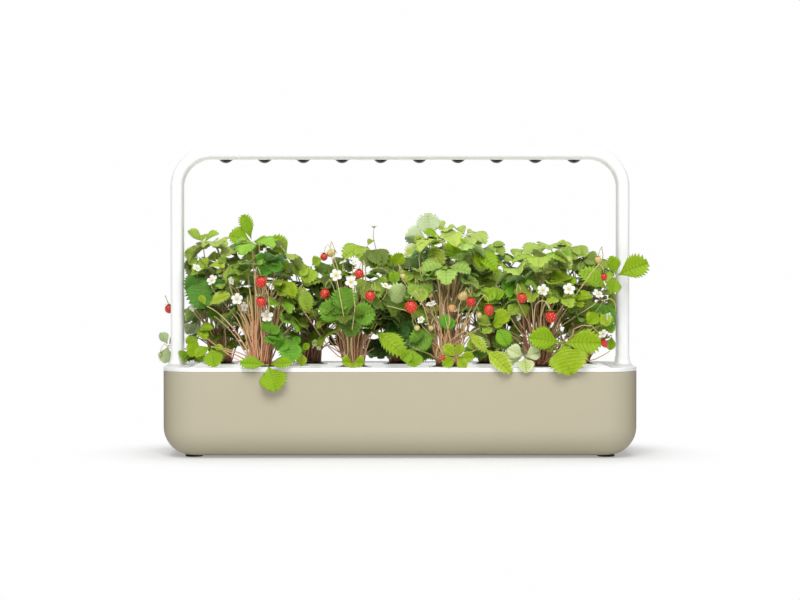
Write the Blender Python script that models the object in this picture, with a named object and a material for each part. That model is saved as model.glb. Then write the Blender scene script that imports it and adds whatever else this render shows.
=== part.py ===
"""Countertop hydroponic garden: a water tank, a planting tray with nine pods, a float and a lamp arch.

The origin is on the counter under the middle of the tank. +X runs along the length to the right,
+Y towards the back and +Z up. All sizes are in metres.
"""

import math

import bmesh
import bpy
from mathutils import Vector

# Clearance between separate pieces that meet, how far a cutter runs past what it cuts,
# and the distance under which two points are one
GAP = 0.0003
OVERRUN = 0.003
MERGE_DISTANCE = 0.000003

# Rubber feet
FOOT_HEIGHT = 0.0022
FOOT_R = 0.0112
FOOT_EDGE_R = 0.0006
FOOT_INSET_X = 0.003
FOOT_INSET_Y = 0.012

# Water tank
TUB_WIDTH = 0.610
TUB_DEPTH = 0.185
TUB_HEIGHT = 0.1085
TUB_CORNER_R = 0.048
TUB_FILLET_R = 0.036
TUB_WALL = 0.003

# Planting tray: the rim lies on the tank's lip and a skirt hangs inside it
TRAY_RIM_HEIGHT = 0.0052
TRAY_RIM_WIDTH = 0.006
TRAY_EDGE_R = 0.0012
DECK_THICK = 0.0032
DECK_CORNER_R = 0.018
SKIRT_DEPTH = 0.010
SKIRT_THICK = 0.002
SKIRT_CLEARANCE = 0.0006
PLATFORM_MARGIN = 0.008

# Lamp arch: a rounded hollow bar bent into two legs and a top
LEG_INSET = 0.0125
LEG_WIDTH = 0.016
LEG_DEPTH = 0.028
LEG_CORNER_R = 0.006
LEG_WALL = 0.0018
CAVITY_CORNER_R = 0.003
ARCH_OUTER_R = 0.053
LAMP_HEIGHT = 0.2852

# Flared collars round the legs, spigots in their ends and the sockets these stand in
COLLAR_FLARE = 0.0038
COLLAR_HEIGHT = 0.010
COLLAR_LIP = 0.0008
COLLAR_TOP_THICK = 0.0007
SPIGOT_WIDTH = 0.008
SPIGOT_DEPTH = 0.020
SPIGOT_LENGTH = 0.016
SPIGOT_ROOT = 0.014
SPIGOT_CORNER_R = 0.0025
SOCKET_WALL = 0.0016

# Light cover, lenses and light board under the arch
LENS_COUNT = 10
LENS_END_INSET = 0.0189
LENS_R = 0.0085
LENS_CAP_DEPTH = 0.0041
LENS_FLANGE = 0.0012
LENS_FLANGE_THICK = 0.001
LENS_RECESS_R = 0.0045
LENS_RECESS_DEPTH = 0.003
RING_DROP = 0.0011
RING_WALL = 0.0007
COVER_HALF_WIDTH = 0.0096
COVER_END = 0.0134
COVER_CORNER_R = 0.002
COVER_LIP = 0.0009
COVER_LIP_RISE = 0.0008
COVER_LIP_THICK = 0.0012
BOARD_THICK = 0.0016
BOARD_HALF_WIDTH = 0.0085
CHIP_SIZE = 0.0035
CHIP_THICK = 0.0008

# Power inlet, timer board and wire in the left leg
INLET_WIDTH = 0.009
INLET_HEIGHT = 0.010
INLET_DEPTH = 0.017
INLET_PROUD = 0.0005
INLET_RISE = 0.016
INLET_BORE_R = 0.0031
INLET_PIN_R = 0.0010
INLET_BORE_DEPTH = 0.010
TIMER_THICK = 0.0012
TIMER_HEIGHT = 0.044
TIMER_RISE = 0.034
TIMER_OFFSET = 0.0025
TIMER_CHIP = 0.008
TIMER_CHIP_THICK = 0.0012
WIRE_R = 0.0012

# Pods: cups in two staggered rows, each with a grow plug
BACK_POD_COUNT = 5
POD_END_INSET = 0.065
ROW_SPACING = 0.084
CUP_HALF_X = 0.020
CUP_HALF_Y = 0.016
CUP_CORNER_R = 0.009
CUP_LEAST_CORNER_R = 0.0015
CUP_TAPER = 0.004
CUP_HEIGHT = 0.048
CUP_WALL = 0.0012
CUP_FLANGE = 0.003
CUP_FLANGE_THICK = 0.0012
ROOT_HOLE_INSET = 0.005
PLUG_DOME = 0.002
PLUG_DOME_INSET = 0.005

# Float with its peg, and the guide that also takes the water
GUIDE_R = 0.0165
GUIDE_FLANGE = 0.0025
GUIDE_FLANGE_THICK = 0.0012
GUIDE_WALL = 0.002
GUIDE_DROP = 0.009
GUIDE_SLEEVE_R = 0.0045
GUIDE_SPOKE = 0.002
GUIDE_SPOKE_HEIGHT = 0.004
GUIDE_SPOKES = 3
PEG_R = 0.0016
PEG_RISE = 0.0105
KNOB_R = 0.0042
KNOB_HEIGHT = 0.0077
BULB_R = 0.012
BULB_HEIGHT = 0.020
BULB_EDGE_R = 0.004
FLOAT_ALONG_SHARE = -1.158
FLOAT_ACROSS_SHARE = -0.19

# Plants: the tallest leaf stays this far under the lenses
LAMP_CLEARANCE = 0.068
CROWN_R = 0.007
CROWN_TOP_R = 0.0095
CROWN_HEIGHT = 0.022
PETIOLE_R = 0.0016
PETIOLE_TIP_R = 0.0010
LEAF_LENGTH = 0.043
LEAF_THICK = 0.0009
LEAF_GAP = 0.0012
LEAF_EDGE_INSET = 0.0025
LEAF_LEG_GAP = 0.0025
LEAVES_PER_PLANT = 6
LEAF_SPIRAL_DEG = 137.5
LOBE_SPREAD_DEG = 82.0

# Height of each plant as a share of the room under the lamp, and the turn of its first leaf
PLANT_HEIGHT_SHARES = (0.87, 0.97, 0.74, 0.80, 0.77, 1.0, 0.85, 0.84, 0.84)
PLANT_TURNS_DEG = (200, 108, 40, 300, 120, 216, 75, 264, 36)
LEAF_NEAR_SHARE = 0.14
LEAF_FAR_SHARE = 0.62
LEAF_LOWEST_SHARE = 0.42
LEAF_TILT_DEG = 12.0
LEAF_TILT_GAIN_DEG = 38.0
# Outline of one leaflet: distance from the leaf's middle, and half width, as shares of its length
LOBE_SHARES = ((0.56, 0.34),)
NOTCH_SHARE = 0.13
LEAF_FOLD_SHARE = 0.30
LEAF_DROOP_SHARE = 0.24
# Bow of a leaf stalk: how far out and up its knee lies on the way to the leaf
KNEE_OUT_SHARE = 0.45
KNEE_UP_SHARE = 0.62
# Large leaves seen in the photograph: plant, place along, across and up as shares, turn, tilt (a leaf
# that rises has a negative one) and size as a share
SIGN_LEAF_SHARES = (
    (1, -0.35, -0.30, 0.93, 90, -65, 0.60),
    (1, -0.46, -0.30, 0.82, 270, 75, 0.50),
    (1, -0.21, -1.45, 0.67, 270, 80, 0.90),
    (2, -0.28, 0.90, 0.86, 90, -65, 0.75),
    (2, -0.70, 0.40, 0.69, 270, 70, 0.55),
    (2, 0.18, 0.29, 0.72, 270, 75, 0.45),
    (2, 0.48, 0.05, 0.58, 270, 75, 0.60),
    (2, 0.80, 0.05, 0.55, 270, 80, 0.65),
    (2, 0.62, -0.19, 0.20, 240, 60, 0.60),
    (2, 0.20, -0.52, 0.21, 90, -70, 0.40),
    (2, 0.20, -1.00, 0.06, 270, 5, 0.80),
    (3, -0.40, -0.85, 0.96, 90, -65, 0.65),
    (3, 0.04, -1.15, 0.88, 270, 75, 0.60),
    (3, 0.75, -0.29, 0.97, 270, 60, 0.45),
    (4, -0.12, -0.79, 0.38, 90, -78, 0.95),
    (4, 0.37, 0.29, 0.70, 270, 70, 0.50),
    (4, 0.42, -0.19, 0.30, 320, 45, 0.80),
    (5, -0.72, -0.60, 1.00, 250, 30, 0.60),
    (5, -0.15, -1.10, 0.83, 270, 80, 0.45),
    (6, -0.37, 0.86, 0.83, 270, -70, 0.80),
    (6, -0.03, 1.30, 0.90, 90, 5, 0.40),
    (6, 0.42, 1.00, 0.86, 180, 5, 0.65),
    (6, -0.44, 0.29, 0.78, 270, 75, 0.60),
    (6, 0.36, 0.29, 0.72, 90, -75, 0.60),
    (6, 0.60, 0.29, 0.76, 300, 50, 0.75),
    (6, -0.18, -0.20, 0.21, 200, 35, 0.90),
    (7, -0.08, -0.52, 0.92, 0, 10, 0.50),
    (7, 0.57, -0.29, 0.82, 270, 30, 0.45),
    (7, 0.20, -1.00, 0.72, 290, 65, 0.55),
    (8, -0.50, 0.29, 0.66, 270, 75, 0.50),
    (8, -0.05, 0.76, 0.85, 270, 75, 0.65),
    (8, 0.40, 0.76, 0.91, 270, 60, 0.40),
    (8, 0.80, 0.29, 0.69, 190, 20, 0.75),
    (8, 0.45, -1.00, 0.18, 90, -75, 1.00),
    (9, -0.66, -0.29, 0.94, 270, 5, 0.75),
    (9, -0.28, -0.52, 0.94, 315, 15, 0.55),
    (9, -0.03, -0.64, 0.85, 270, 60, 0.50),
    (9, 0.50, -1.55, 0.59, 180, -25, 1.00),
    (9, 0.42, -1.40, 0.49, 270, 75, 0.80),
)

# Fineness of round shapes, and the bend past which an edge is drawn sharp
SHARP_DEG = 35
CORNER_STEPS = 6
SMALL_CORNER_STEPS = 2
CUP_CORNER_STEPS = 2
FILLET_STEPS = 6
BEND_STEPS = 7
COLLAR_STEPS = 3
CAP_STEPS = 3
TURN_STEPS = 18
LENS_TURN_STEPS = 12
SMALL_TURN_STEPS = 10
CROWN_SIDES = 8
PETIOLE_SIDES = 3
PETIOLE_RINGS = 3

# Levels, from the counter up
TUB_BOTTOM_Z = FOOT_HEIGHT + GAP
TUB_TOP_Z = TUB_BOTTOM_Z + TUB_HEIGHT
TRAY_UNDER_Z = TUB_TOP_Z + GAP
TRAY_TOP_Z = TRAY_UNDER_Z + TRAY_RIM_HEIGHT
DECK_TOP_Z = TRAY_UNDER_Z + DECK_THICK
LEG_FOOT_Z = TRAY_TOP_Z + GAP
ARCH_TOP_Z = LEG_FOOT_Z + LAMP_HEIGHT
BAR_UNDER_Z = ARCH_TOP_Z - LEG_WIDTH
BAR_MIDDLE_Z = ARCH_TOP_Z - LEG_WIDTH / 2
CAVITY_FLOOR_Z = BAR_UNDER_Z + LEG_WALL
COVER_LIP_Z = CAVITY_FLOOR_Z + COVER_LIP_RISE
COVER_TOP_Z = COVER_LIP_Z + COVER_LIP_THICK
LENS_FLANGE_Z = COVER_TOP_Z + GAP
LENS_TOP_Z = LENS_FLANGE_Z + LENS_FLANGE_THICK
LENS_BOTTOM_Z = BAR_UNDER_Z - RING_DROP - LENS_CAP_DEPTH
BOARD_Z = LENS_TOP_Z + GAP
SPIGOT_BOTTOM_Z = LEG_FOOT_Z - SPIGOT_LENGTH
INLET_Z = LEG_FOOT_Z + INLET_RISE + INLET_HEIGHT / 2
FLANGE_Z = DECK_TOP_Z + GAP
CUP_BOTTOM_Z = FLANGE_Z - CUP_HEIGHT
CUP_TOP_Z = FLANGE_Z + CUP_FLANGE_THICK
PLUG_TOP_Z = CUP_TOP_Z + PLUG_DOME
PLANT_Z = PLUG_TOP_Z + GAP
GUIDE_TOP_Z = FLANGE_Z + GUIDE_FLANGE_THICK
GUIDE_BOTTOM_Z = GUIDE_TOP_Z - GUIDE_DROP
BULB_TOP_Z = GUIDE_BOTTOM_Z - GAP
PLANT_ROOM = LENS_BOTTOM_Z - LAMP_CLEARANCE - PLANT_Z

# Places in plan
HALF_WIDTH = TUB_WIDTH / 2
HALF_DEPTH = TUB_DEPTH / 2
LEG_X = HALF_WIDTH - LEG_INSET
BEND_R = ARCH_OUTER_R - LEG_WIDTH / 2
BEND_X = LEG_X - BEND_R
LENS_PITCH = 2 * (BEND_X - LENS_END_INSET) / (LENS_COUNT - 1)
COVER_HALF_LENGTH = LENS_PITCH * (LENS_COUNT - 1) / 2 + COVER_END
POD_PITCH = 2 * (HALF_WIDTH - POD_END_INSET) / (BACK_POD_COUNT - 1)
ROW_Y = ROW_SPACING / 2
FLOAT_X = FLOAT_ALONG_SHARE * POD_PITCH
FLOAT_Y = FLOAT_ACROSS_SHARE * ROW_Y
LEFT = -1
RIGHT = 1
SIDES = (("left", LEFT), ("right", RIGHT))


def pod_places():
    """Middle of each pod in plan, left to right, the back row first in each pair."""
    return [
        ((index - BACK_POD_COUNT + 1) * POD_PITCH / 2, ROW_Y if index % 2 == 0 else -ROW_Y)
        for index in range(2 * BACK_POD_COUNT - 1)
    ]


def lens_places():
    """Distance of each lens from the middle, left to right."""
    return [(index - (LENS_COUNT - 1) / 2) * LENS_PITCH for index in range(LENS_COUNT)]


def clear_scene():
    for old in list(bpy.data.objects):
        bpy.data.objects.remove(old, do_unlink=True)


def plain_material(name, colour, roughness, metallic=0.0):
    """A Principled material with one colour."""
    material = bpy.data.materials.new(name)
    material.use_nodes = True
    shader = material.node_tree.nodes["Principled BSDF"]
    shader.inputs["Base Color"].default_value = (*colour, 1.0)
    shader.inputs["Roughness"].default_value = roughness
    shader.inputs["Metallic"].default_value = metallic
    return material


def finished(name, bm, material=None, collection=None):
    """Turn a bmesh into an object whose faces point out."""
    bmesh.ops.recalc_face_normals(bm, faces=bm.faces)
    if bm.calc_volume(signed=True) < 0:
        bmesh.ops.reverse_faces(bm, faces=bm.faces)
    mesh = bpy.data.meshes.new(name)
    bm.to_mesh(mesh)
    bm.free()
    mesh.shade_smooth()
    mesh.set_sharp_from_angle(angle=math.radians(SHARP_DEG))
    piece = bpy.data.objects.new(name, mesh)
    (collection or bpy.context.scene.collection).objects.link(piece)
    if material:
        mesh.materials.append(material)
    return piece


def helper(name, bm, collection=None):
    """A cutter or a shape that a Boolean joins, left out of the renders."""
    piece = finished(name, bm, collection=collection)
    piece.hide_render = True
    piece.display_type = "WIRE"
    return piece


def boolean(host, operation, operand):
    """Cut or join with another object, or with every object in a collection."""
    modifier = host.modifiers.new(operation.lower(), "BOOLEAN")
    modifier.operation = operation
    modifier.solver = "EXACT"
    if isinstance(operand, bpy.types.Collection):
        modifier.operand_type = "COLLECTION"
        modifier.collection = operand
    else:
        modifier.object = operand


def helper_collection(name):
    collection = bpy.data.collections.new(name)
    bpy.context.scene.collection.children.link(collection)
    return collection


def rounded_outline(half_x, half_y, radius, steps):
    """Points round a rectangle with round corners, counter-clockwise."""
    points = []
    for quarter, (sign_x, sign_y) in enumerate(((1, 1), (-1, 1), (-1, -1), (1, -1))):
        middle_x = sign_x * (half_x - radius)
        middle_y = sign_y * (half_y - radius)
        for step in range(steps + 1):
            angle = math.radians(90) * (quarter + step / steps)
            points.append((middle_x + radius * math.cos(angle), middle_y + radius * math.sin(angle)))
    return points


def level(outline, z, place=(0, 0)):
    """An outline laid flat at a height."""
    return [Vector((x + place[0], y + place[1], z)) for x, y in outline]


def circle(radius, steps):
    return [
        (radius * math.cos(math.tau * step / steps), radius * math.sin(math.tau * step / steps))
        for step in range(steps)
    ]


def add_loft(bm, rings, closed=False):
    """Skin rings of points in order. A closed loft joins the last to the first, another is capped."""
    loops = [[bm.verts.new(point) for point in ring] for ring in rings]
    pairs = list(zip(loops, loops[1:]))
    if closed:
        pairs.append((loops[-1], loops[0]))
    else:
        bm.faces.new(loops[0][::-1])
        bm.faces.new(loops[-1])
    for first, second in pairs:
        for i in range(len(first)):
            bm.faces.new((first[i - 1], first[i], second[i], second[i - 1]))


def add_prism(bm, outline, low, high, place=(0, 0)):
    add_loft(bm, [level(outline, low, place), level(outline, high, place)])


def add_turned(bm, profile, steps, place=(0, 0)):
    """Spin a profile of (radius, height) points about an upright axis."""
    verts = [bm.verts.new((place[0] + r, place[1], z)) for r, z in profile]
    edges = [bm.edges.new(pair) for pair in zip(verts, verts[1:])]
    if profile[0][0] > 0:
        edges.append(bm.edges.new((verts[-1], verts[0])))
    bmesh.ops.spin(
        bm,
        geom=verts + edges,
        cent=(place[0], place[1], 0),
        axis=(0, 0, 1),
        angle=math.tau,
        steps=steps,
        use_merge=True,
    )
    bmesh.ops.remove_doubles(bm, verts=bm.verts, dist=MERGE_DISTANCE)


def tub_ring(inset, z):
    """The tank's outline at a height, drawn in by an inset."""
    outline = rounded_outline(HALF_WIDTH - inset, HALF_DEPTH - inset, TUB_CORNER_R - inset, CORNER_STEPS)
    return level(outline, z)


def make_water_tank(material):
    outside = []
    inside = []
    inner_r = TUB_FILLET_R - TUB_WALL
    for step in range(FILLET_STEPS + 1):
        angle = math.radians(90) * step / FILLET_STEPS
        draw_in = 1 - math.sin(angle)
        rise = 1 - math.cos(angle)
        outside.append(tub_ring(TUB_FILLET_R * draw_in, TUB_BOTTOM_Z + TUB_FILLET_R * rise))
        inside.append(tub_ring(TUB_WALL + inner_r * draw_in, TUB_BOTTOM_Z + TUB_WALL + inner_r * rise))
    outside.append(tub_ring(0, TUB_TOP_Z))
    inside.append(tub_ring(TUB_WALL, TUB_TOP_Z))
    bm = bmesh.new()
    add_loft(bm, outside + inside[::-1])
    finished("water_tank", bm, material)


def make_feet(material):
    x = HALF_WIDTH - TUB_FILLET_R - FOOT_INSET_X
    y = HALF_DEPTH - TUB_FILLET_R - FOOT_INSET_Y
    profile = [
        (0, 0),
        (FOOT_R - FOOT_EDGE_R, 0),
        (FOOT_R, FOOT_EDGE_R),
        (FOOT_R, FOOT_HEIGHT),
        (0, FOOT_HEIGHT),
    ]
    for row, along in (("front", -y), ("back", y)):
        for side, sign in SIDES:
            bm = bmesh.new()
            add_turned(bm, profile, TURN_STEPS, (sign * x, along))
            finished(f"foot_{row}_{side}", bm, material)


def cup_outline(grow):
    corner = max(CUP_CORNER_R + grow, CUP_LEAST_CORNER_R)
    return rounded_outline(CUP_HALF_X + grow, CUP_HALF_Y + grow, corner, CUP_CORNER_STEPS)


def spigot_outline(grow):
    half_x = SPIGOT_WIDTH / 2 + grow
    half_y = SPIGOT_DEPTH / 2 + grow
    return rounded_outline(half_x, half_y, SPIGOT_CORNER_R + grow, SMALL_CORNER_STEPS)


def leg_outline(grow):
    half_x = LEG_WIDTH / 2 + grow
    half_y = LEG_DEPTH / 2 + grow
    return rounded_outline(half_x, half_y, LEG_CORNER_R + grow, SMALL_CORNER_STEPS)


def cavity_outline(shrink):
    half_x = LEG_WIDTH / 2 - LEG_WALL - shrink
    half_y = LEG_DEPTH / 2 - LEG_WALL - shrink
    return rounded_outline(half_x, half_y, CAVITY_CORNER_R - shrink, SMALL_CORNER_STEPS)


def make_planting_tray(material):
    skirt_out = TUB_WALL + SKIRT_CLEARANCE
    skirt_in = skirt_out + SKIRT_THICK
    skirt_z = TRAY_UNDER_Z - SKIRT_DEPTH
    collar_reach = LEG_WIDTH / 2 + COLLAR_FLARE
    deck_half_x = LEG_X - collar_reach - PLATFORM_MARGIN
    deck_half_y = HALF_DEPTH - TRAY_RIM_WIDTH
    deck = rounded_outline(deck_half_x, deck_half_y, DECK_CORNER_R, CORNER_STEPS)
    rings = [
        tub_ring(skirt_in, TRAY_UNDER_Z),
        tub_ring(skirt_in, skirt_z),
        tub_ring(skirt_out, skirt_z),
        tub_ring(skirt_out, TRAY_UNDER_Z),
        tub_ring(0, TRAY_UNDER_Z),
        tub_ring(0, TRAY_TOP_Z - TRAY_EDGE_R),
        tub_ring(TRAY_EDGE_R, TRAY_TOP_Z),
        level(deck, TRAY_TOP_Z),
        level(deck, DECK_TOP_Z),
    ]
    bm = bmesh.new()
    add_loft(bm, rings)
    tray = finished("planting_tray", bm, material)
    low = TRAY_UNDER_Z - OVERRUN
    high = TRAY_TOP_Z + OVERRUN
    cutter = bmesh.new()
    for place in pod_places():
        add_prism(cutter, cup_outline(GAP), low, high, place)
    for _, sign in SIDES:
        add_prism(cutter, spigot_outline(GAP), low, high, (sign * LEG_X, 0))
    add_prism(cutter, circle(GUIDE_R + GAP, TURN_STEPS), low, high, (FLOAT_X, FLOAT_Y))
    boolean(tray, "DIFFERENCE", helper("tray_hole_cutter", cutter))


def make_leg_sockets(material):
    top = TRAY_UNDER_Z - GAP
    floor = SPIGOT_BOTTOM_Z - GAP
    for side, sign in SIDES:
        place = (sign * LEG_X, 0)
        bm = bmesh.new()
        add_loft(bm, [
            level(spigot_outline(GAP + SOCKET_WALL), floor - SOCKET_WALL, place),
            level(spigot_outline(GAP + SOCKET_WALL), top, place),
            level(spigot_outline(GAP), top, place),
            level(spigot_outline(GAP), floor, place),
        ])
        finished(f"leg_socket_{side}", bm, material)


def make_leg_spigots(material):
    for side, sign in SIDES:
        place = (sign * LEG_X, 0)
        bm = bmesh.new()
        add_loft(bm, [
            level(spigot_outline(0), SPIGOT_BOTTOM_Z, place),
            level(spigot_outline(0), LEG_FOOT_Z, place),
            level(cavity_outline(GAP), LEG_FOOT_Z, place),
            level(cavity_outline(GAP), LEG_FOOT_Z + SPIGOT_ROOT, place),
        ])
        finished(f"leg_spigot_{side}", bm, material)


def make_leg_collars(material):
    rise = COLLAR_HEIGHT - COLLAR_LIP
    spread = COLLAR_FLARE - COLLAR_TOP_THICK
    for side, sign in SIDES:
        place = (sign * LEG_X, 0)
        rings = [level(leg_outline(grow), LEG_FOOT_Z, place) for grow in (GAP, COLLAR_FLARE)]
        for step in range(COLLAR_STEPS + 1):
            angle = math.radians(90) * step / COLLAR_STEPS
            grow = COLLAR_TOP_THICK + spread * (1 - math.sin(angle))
            z = LEG_FOOT_Z + COLLAR_LIP + rise * (1 - math.cos(angle))
            rings.append(level(leg_outline(grow), z, place))
        rings.append(level(leg_outline(GAP), LEG_FOOT_Z + COLLAR_HEIGHT, place))
        bm = bmesh.new()
        add_loft(bm, rings, closed=True)
        finished(f"leg_collar_{side}", bm, material)


def arch_stations():
    """Points of the arch's centre line with the direction away from its inside, left foot to right foot."""
    stations = [(Vector((-LEG_X, 0, LEG_FOOT_Z)), Vector((-1, 0, 0)))]
    for sign, start in ((LEFT, 180), (RIGHT, 90)):
        middle = Vector((sign * BEND_X, 0, ARCH_TOP_Z - ARCH_OUTER_R))
        for step in range(BEND_STEPS + 1):
            angle = math.radians(start - 90 * step / BEND_STEPS)
            outward = Vector((math.cos(angle), 0, math.sin(angle)))
            stations.append((middle + outward * BEND_R, outward))
    stations.append((Vector((LEG_X, 0, LEG_FOOT_Z)), Vector((1, 0, 0))))
    return stations


def make_lamp_arch(material):
    across = Vector((0, 1, 0))
    shells = []
    for outline in (leg_outline(0), cavity_outline(0)):
        shells.append([
            [point + outward * u + across * v for u, v in outline] for point, outward in arch_stations()
        ])
    bm = bmesh.new()
    add_loft(bm, shells[0] + shells[1][::-1], closed=True)
    arch = finished("lamp_arch", bm, material)
    cutter = bmesh.new()
    slot = rounded_outline(
        COVER_HALF_LENGTH + GAP, COVER_HALF_WIDTH + GAP, COVER_CORNER_R + GAP, SMALL_CORNER_STEPS
    )
    add_prism(cutter, slot, BAR_UNDER_Z - OVERRUN, CAVITY_FLOOR_Z + OVERRUN)
    window = rounded_outline(INLET_WIDTH / 2 + GAP, INLET_HEIGHT / 2 + GAP, GAP, 1)
    inner_y = LEG_DEPTH / 2 - LEG_WALL - OVERRUN
    outer_y = LEG_DEPTH / 2 + OVERRUN
    add_loft(cutter, [
        [Vector((x - LEG_X, y, z + INLET_Z)) for x, z in window] for y in (inner_y, outer_y)
    ])
    boolean(arch, "DIFFERENCE", helper("arch_cutter", cutter))


def make_light_cover(material):
    strip = rounded_outline(COVER_HALF_LENGTH, COVER_HALF_WIDTH, COVER_CORNER_R, SMALL_CORNER_STEPS)
    lip = rounded_outline(
        COVER_HALF_LENGTH + COVER_LIP, COVER_HALF_WIDTH + COVER_LIP, COVER_CORNER_R, SMALL_CORNER_STEPS
    )
    bm = bmesh.new()
    add_loft(bm, [
        level(strip, BAR_UNDER_Z),
        level(strip, COVER_LIP_Z),
        level(lip, COVER_LIP_Z),
        level(lip, COVER_TOP_Z),
    ])
    cover = finished("light_cover", bm, material)
    rims = bmesh.new()
    holes = bmesh.new()
    ring_low = BAR_UNDER_Z - RING_DROP
    for x in lens_places():
        rim = circle(LENS_R + GAP + RING_WALL, LENS_TURN_STEPS)
        hole = circle(LENS_R + GAP, LENS_TURN_STEPS)
        add_prism(rims, rim, ring_low, BAR_UNDER_Z + LEG_WALL / 2, (x, 0))
        add_prism(holes, hole, ring_low - OVERRUN, COVER_TOP_Z + OVERRUN, (x, 0))
    boolean(cover, "UNION", helper("cover_rims", rims))
    boolean(cover, "DIFFERENCE", helper("cover_hole_cutter", holes))


def make_lenses(material):
    cap_r = (LENS_R ** 2 + LENS_CAP_DEPTH ** 2) / (2 * LENS_CAP_DEPTH)
    cap_angle = math.asin(LENS_R / cap_r)
    profile = []
    for step in range(CAP_STEPS + 1):
        angle = cap_angle * step / CAP_STEPS
        profile.append((cap_r * math.sin(angle), LENS_BOTTOM_Z + cap_r * (1 - math.cos(angle))))
    profile += [
        (LENS_R, LENS_FLANGE_Z),
        (LENS_R + LENS_FLANGE, LENS_FLANGE_Z),
        (LENS_R + LENS_FLANGE, LENS_TOP_Z),
        (LENS_RECESS_R, LENS_TOP_Z),
        (LENS_RECESS_R, LENS_TOP_Z - LENS_RECESS_DEPTH),
        (0, LENS_TOP_Z - LENS_RECESS_DEPTH),
    ]
    for number, x in enumerate(lens_places(), 1):
        bm = bmesh.new()
        add_turned(bm, profile, LENS_TURN_STEPS, (x, 0))
        finished(f"lens_{number:02d}", bm, material)


def make_led_board(material):
    outline = rounded_outline(COVER_HALF_LENGTH, BOARD_HALF_WIDTH, CHIP_SIZE / 2, 1)
    bm = bmesh.new()
    add_prism(bm, outline, BOARD_Z, BOARD_Z + BOARD_THICK)
    board = finished("led_board", bm, material)
    chips = bmesh.new()
    chip = rounded_outline(CHIP_SIZE / 2, CHIP_SIZE / 2, CHIP_THICK / 2, 1)
    for x in lens_places():
        add_prism(chips, chip, BOARD_Z - CHIP_THICK, BOARD_Z + BOARD_THICK / 2, (x, 0))
    boolean(board, "UNION", helper("led_chips", chips))


def make_timer_board(material):
    low = LEG_FOOT_Z + TIMER_RISE
    x = -LEG_X - TIMER_OFFSET
    half_y = LEG_DEPTH / 2 - LEG_WALL - GAP
    bm = bmesh.new()
    plate = rounded_outline(TIMER_THICK / 2, half_y, TIMER_THICK / 4, 1)
    add_prism(bm, plate, low, low + TIMER_HEIGHT, (x, 0))
    board = finished("timer_board", bm, material)
    chip = bmesh.new()
    chip_half_x = (TIMER_THICK + TIMER_CHIP_THICK) / 2
    block = rounded_outline(chip_half_x, TIMER_CHIP / 2, TIMER_CHIP_THICK / 4, 1)
    chip_low = low + (TIMER_HEIGHT - TIMER_CHIP) / 2
    add_prism(chip, block, chip_low, chip_low + TIMER_CHIP, (x + TIMER_THICK / 2, 0))
    boolean(board, "UNION", helper("timer_chip", chip))


def make_dc_inlet(material):
    face_y = LEG_DEPTH / 2 + INLET_PROUD
    back_y = face_y - INLET_DEPTH
    outline = rounded_outline(INLET_WIDTH / 2, INLET_HEIGHT / 2, GAP, 1)
    bm = bmesh.new()
    add_loft(bm, [
        [Vector((x - LEG_X, y, z + INLET_Z)) for x, z in outline] for y in (back_y, face_y)
    ])
    inlet = finished("dc_inlet", bm, material)
    cutter = bmesh.new()
    rings = []
    for radius, y in (
        (INLET_BORE_R, face_y + OVERRUN),
        (INLET_BORE_R, face_y - INLET_BORE_DEPTH),
        (INLET_PIN_R, face_y - INLET_BORE_DEPTH),
        (INLET_PIN_R, face_y + OVERRUN),
    ):
        rings.append([Vector((x - LEG_X, y, z + INLET_Z)) for x, z in circle(radius, SMALL_TURN_STEPS)])
    add_loft(cutter, rings, closed=True)
    boolean(inlet, "DIFFERENCE", helper("inlet_cutter", cutter))
    trim = bmesh.new()
    pin_end = face_y - INLET_PROUD
    add_loft(trim, [
        [Vector((x - LEG_X, y, z + INLET_Z)) for x, z in circle(INLET_BORE_R, SMALL_TURN_STEPS)]
        for y in (pin_end, face_y + OVERRUN)
    ])
    boolean(inlet, "DIFFERENCE", helper("inlet_pin_trim", trim))


def make_lamp_wire(material):
    """The lead from the inlet up the left leg and round the bend to the end of the light board."""
    board_middle_z = BOARD_Z + BOARD_THICK / 2
    inward = BAR_MIDDLE_Z - board_middle_z
    start_z = INLET_Z + INLET_HEIGHT / 2 + GAP
    route = [Vector((-LEG_X + inward, 0, start_z))]
    for point, outward in arch_stations()[1:BEND_STEPS + 2]:
        route.append(point - outward * inward)
    route.append(Vector((-COVER_HALF_LENGTH - GAP, 0, board_middle_z)))
    curve = bpy.data.curves.new("lamp_wire", "CURVE")
    curve.dimensions = "3D"
    curve.bevel_depth = WIRE_R
    curve.bevel_resolution = 2
    curve.use_fill_caps = True
    spline = curve.splines.new("POLY")
    spline.points.add(len(route) - 1)
    for control, point in zip(spline.points, route):
        control.co = (*point, 1)
    curve.materials.append(material)
    bpy.context.scene.collection.objects.link(bpy.data.objects.new("lamp_wire", curve))


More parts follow.
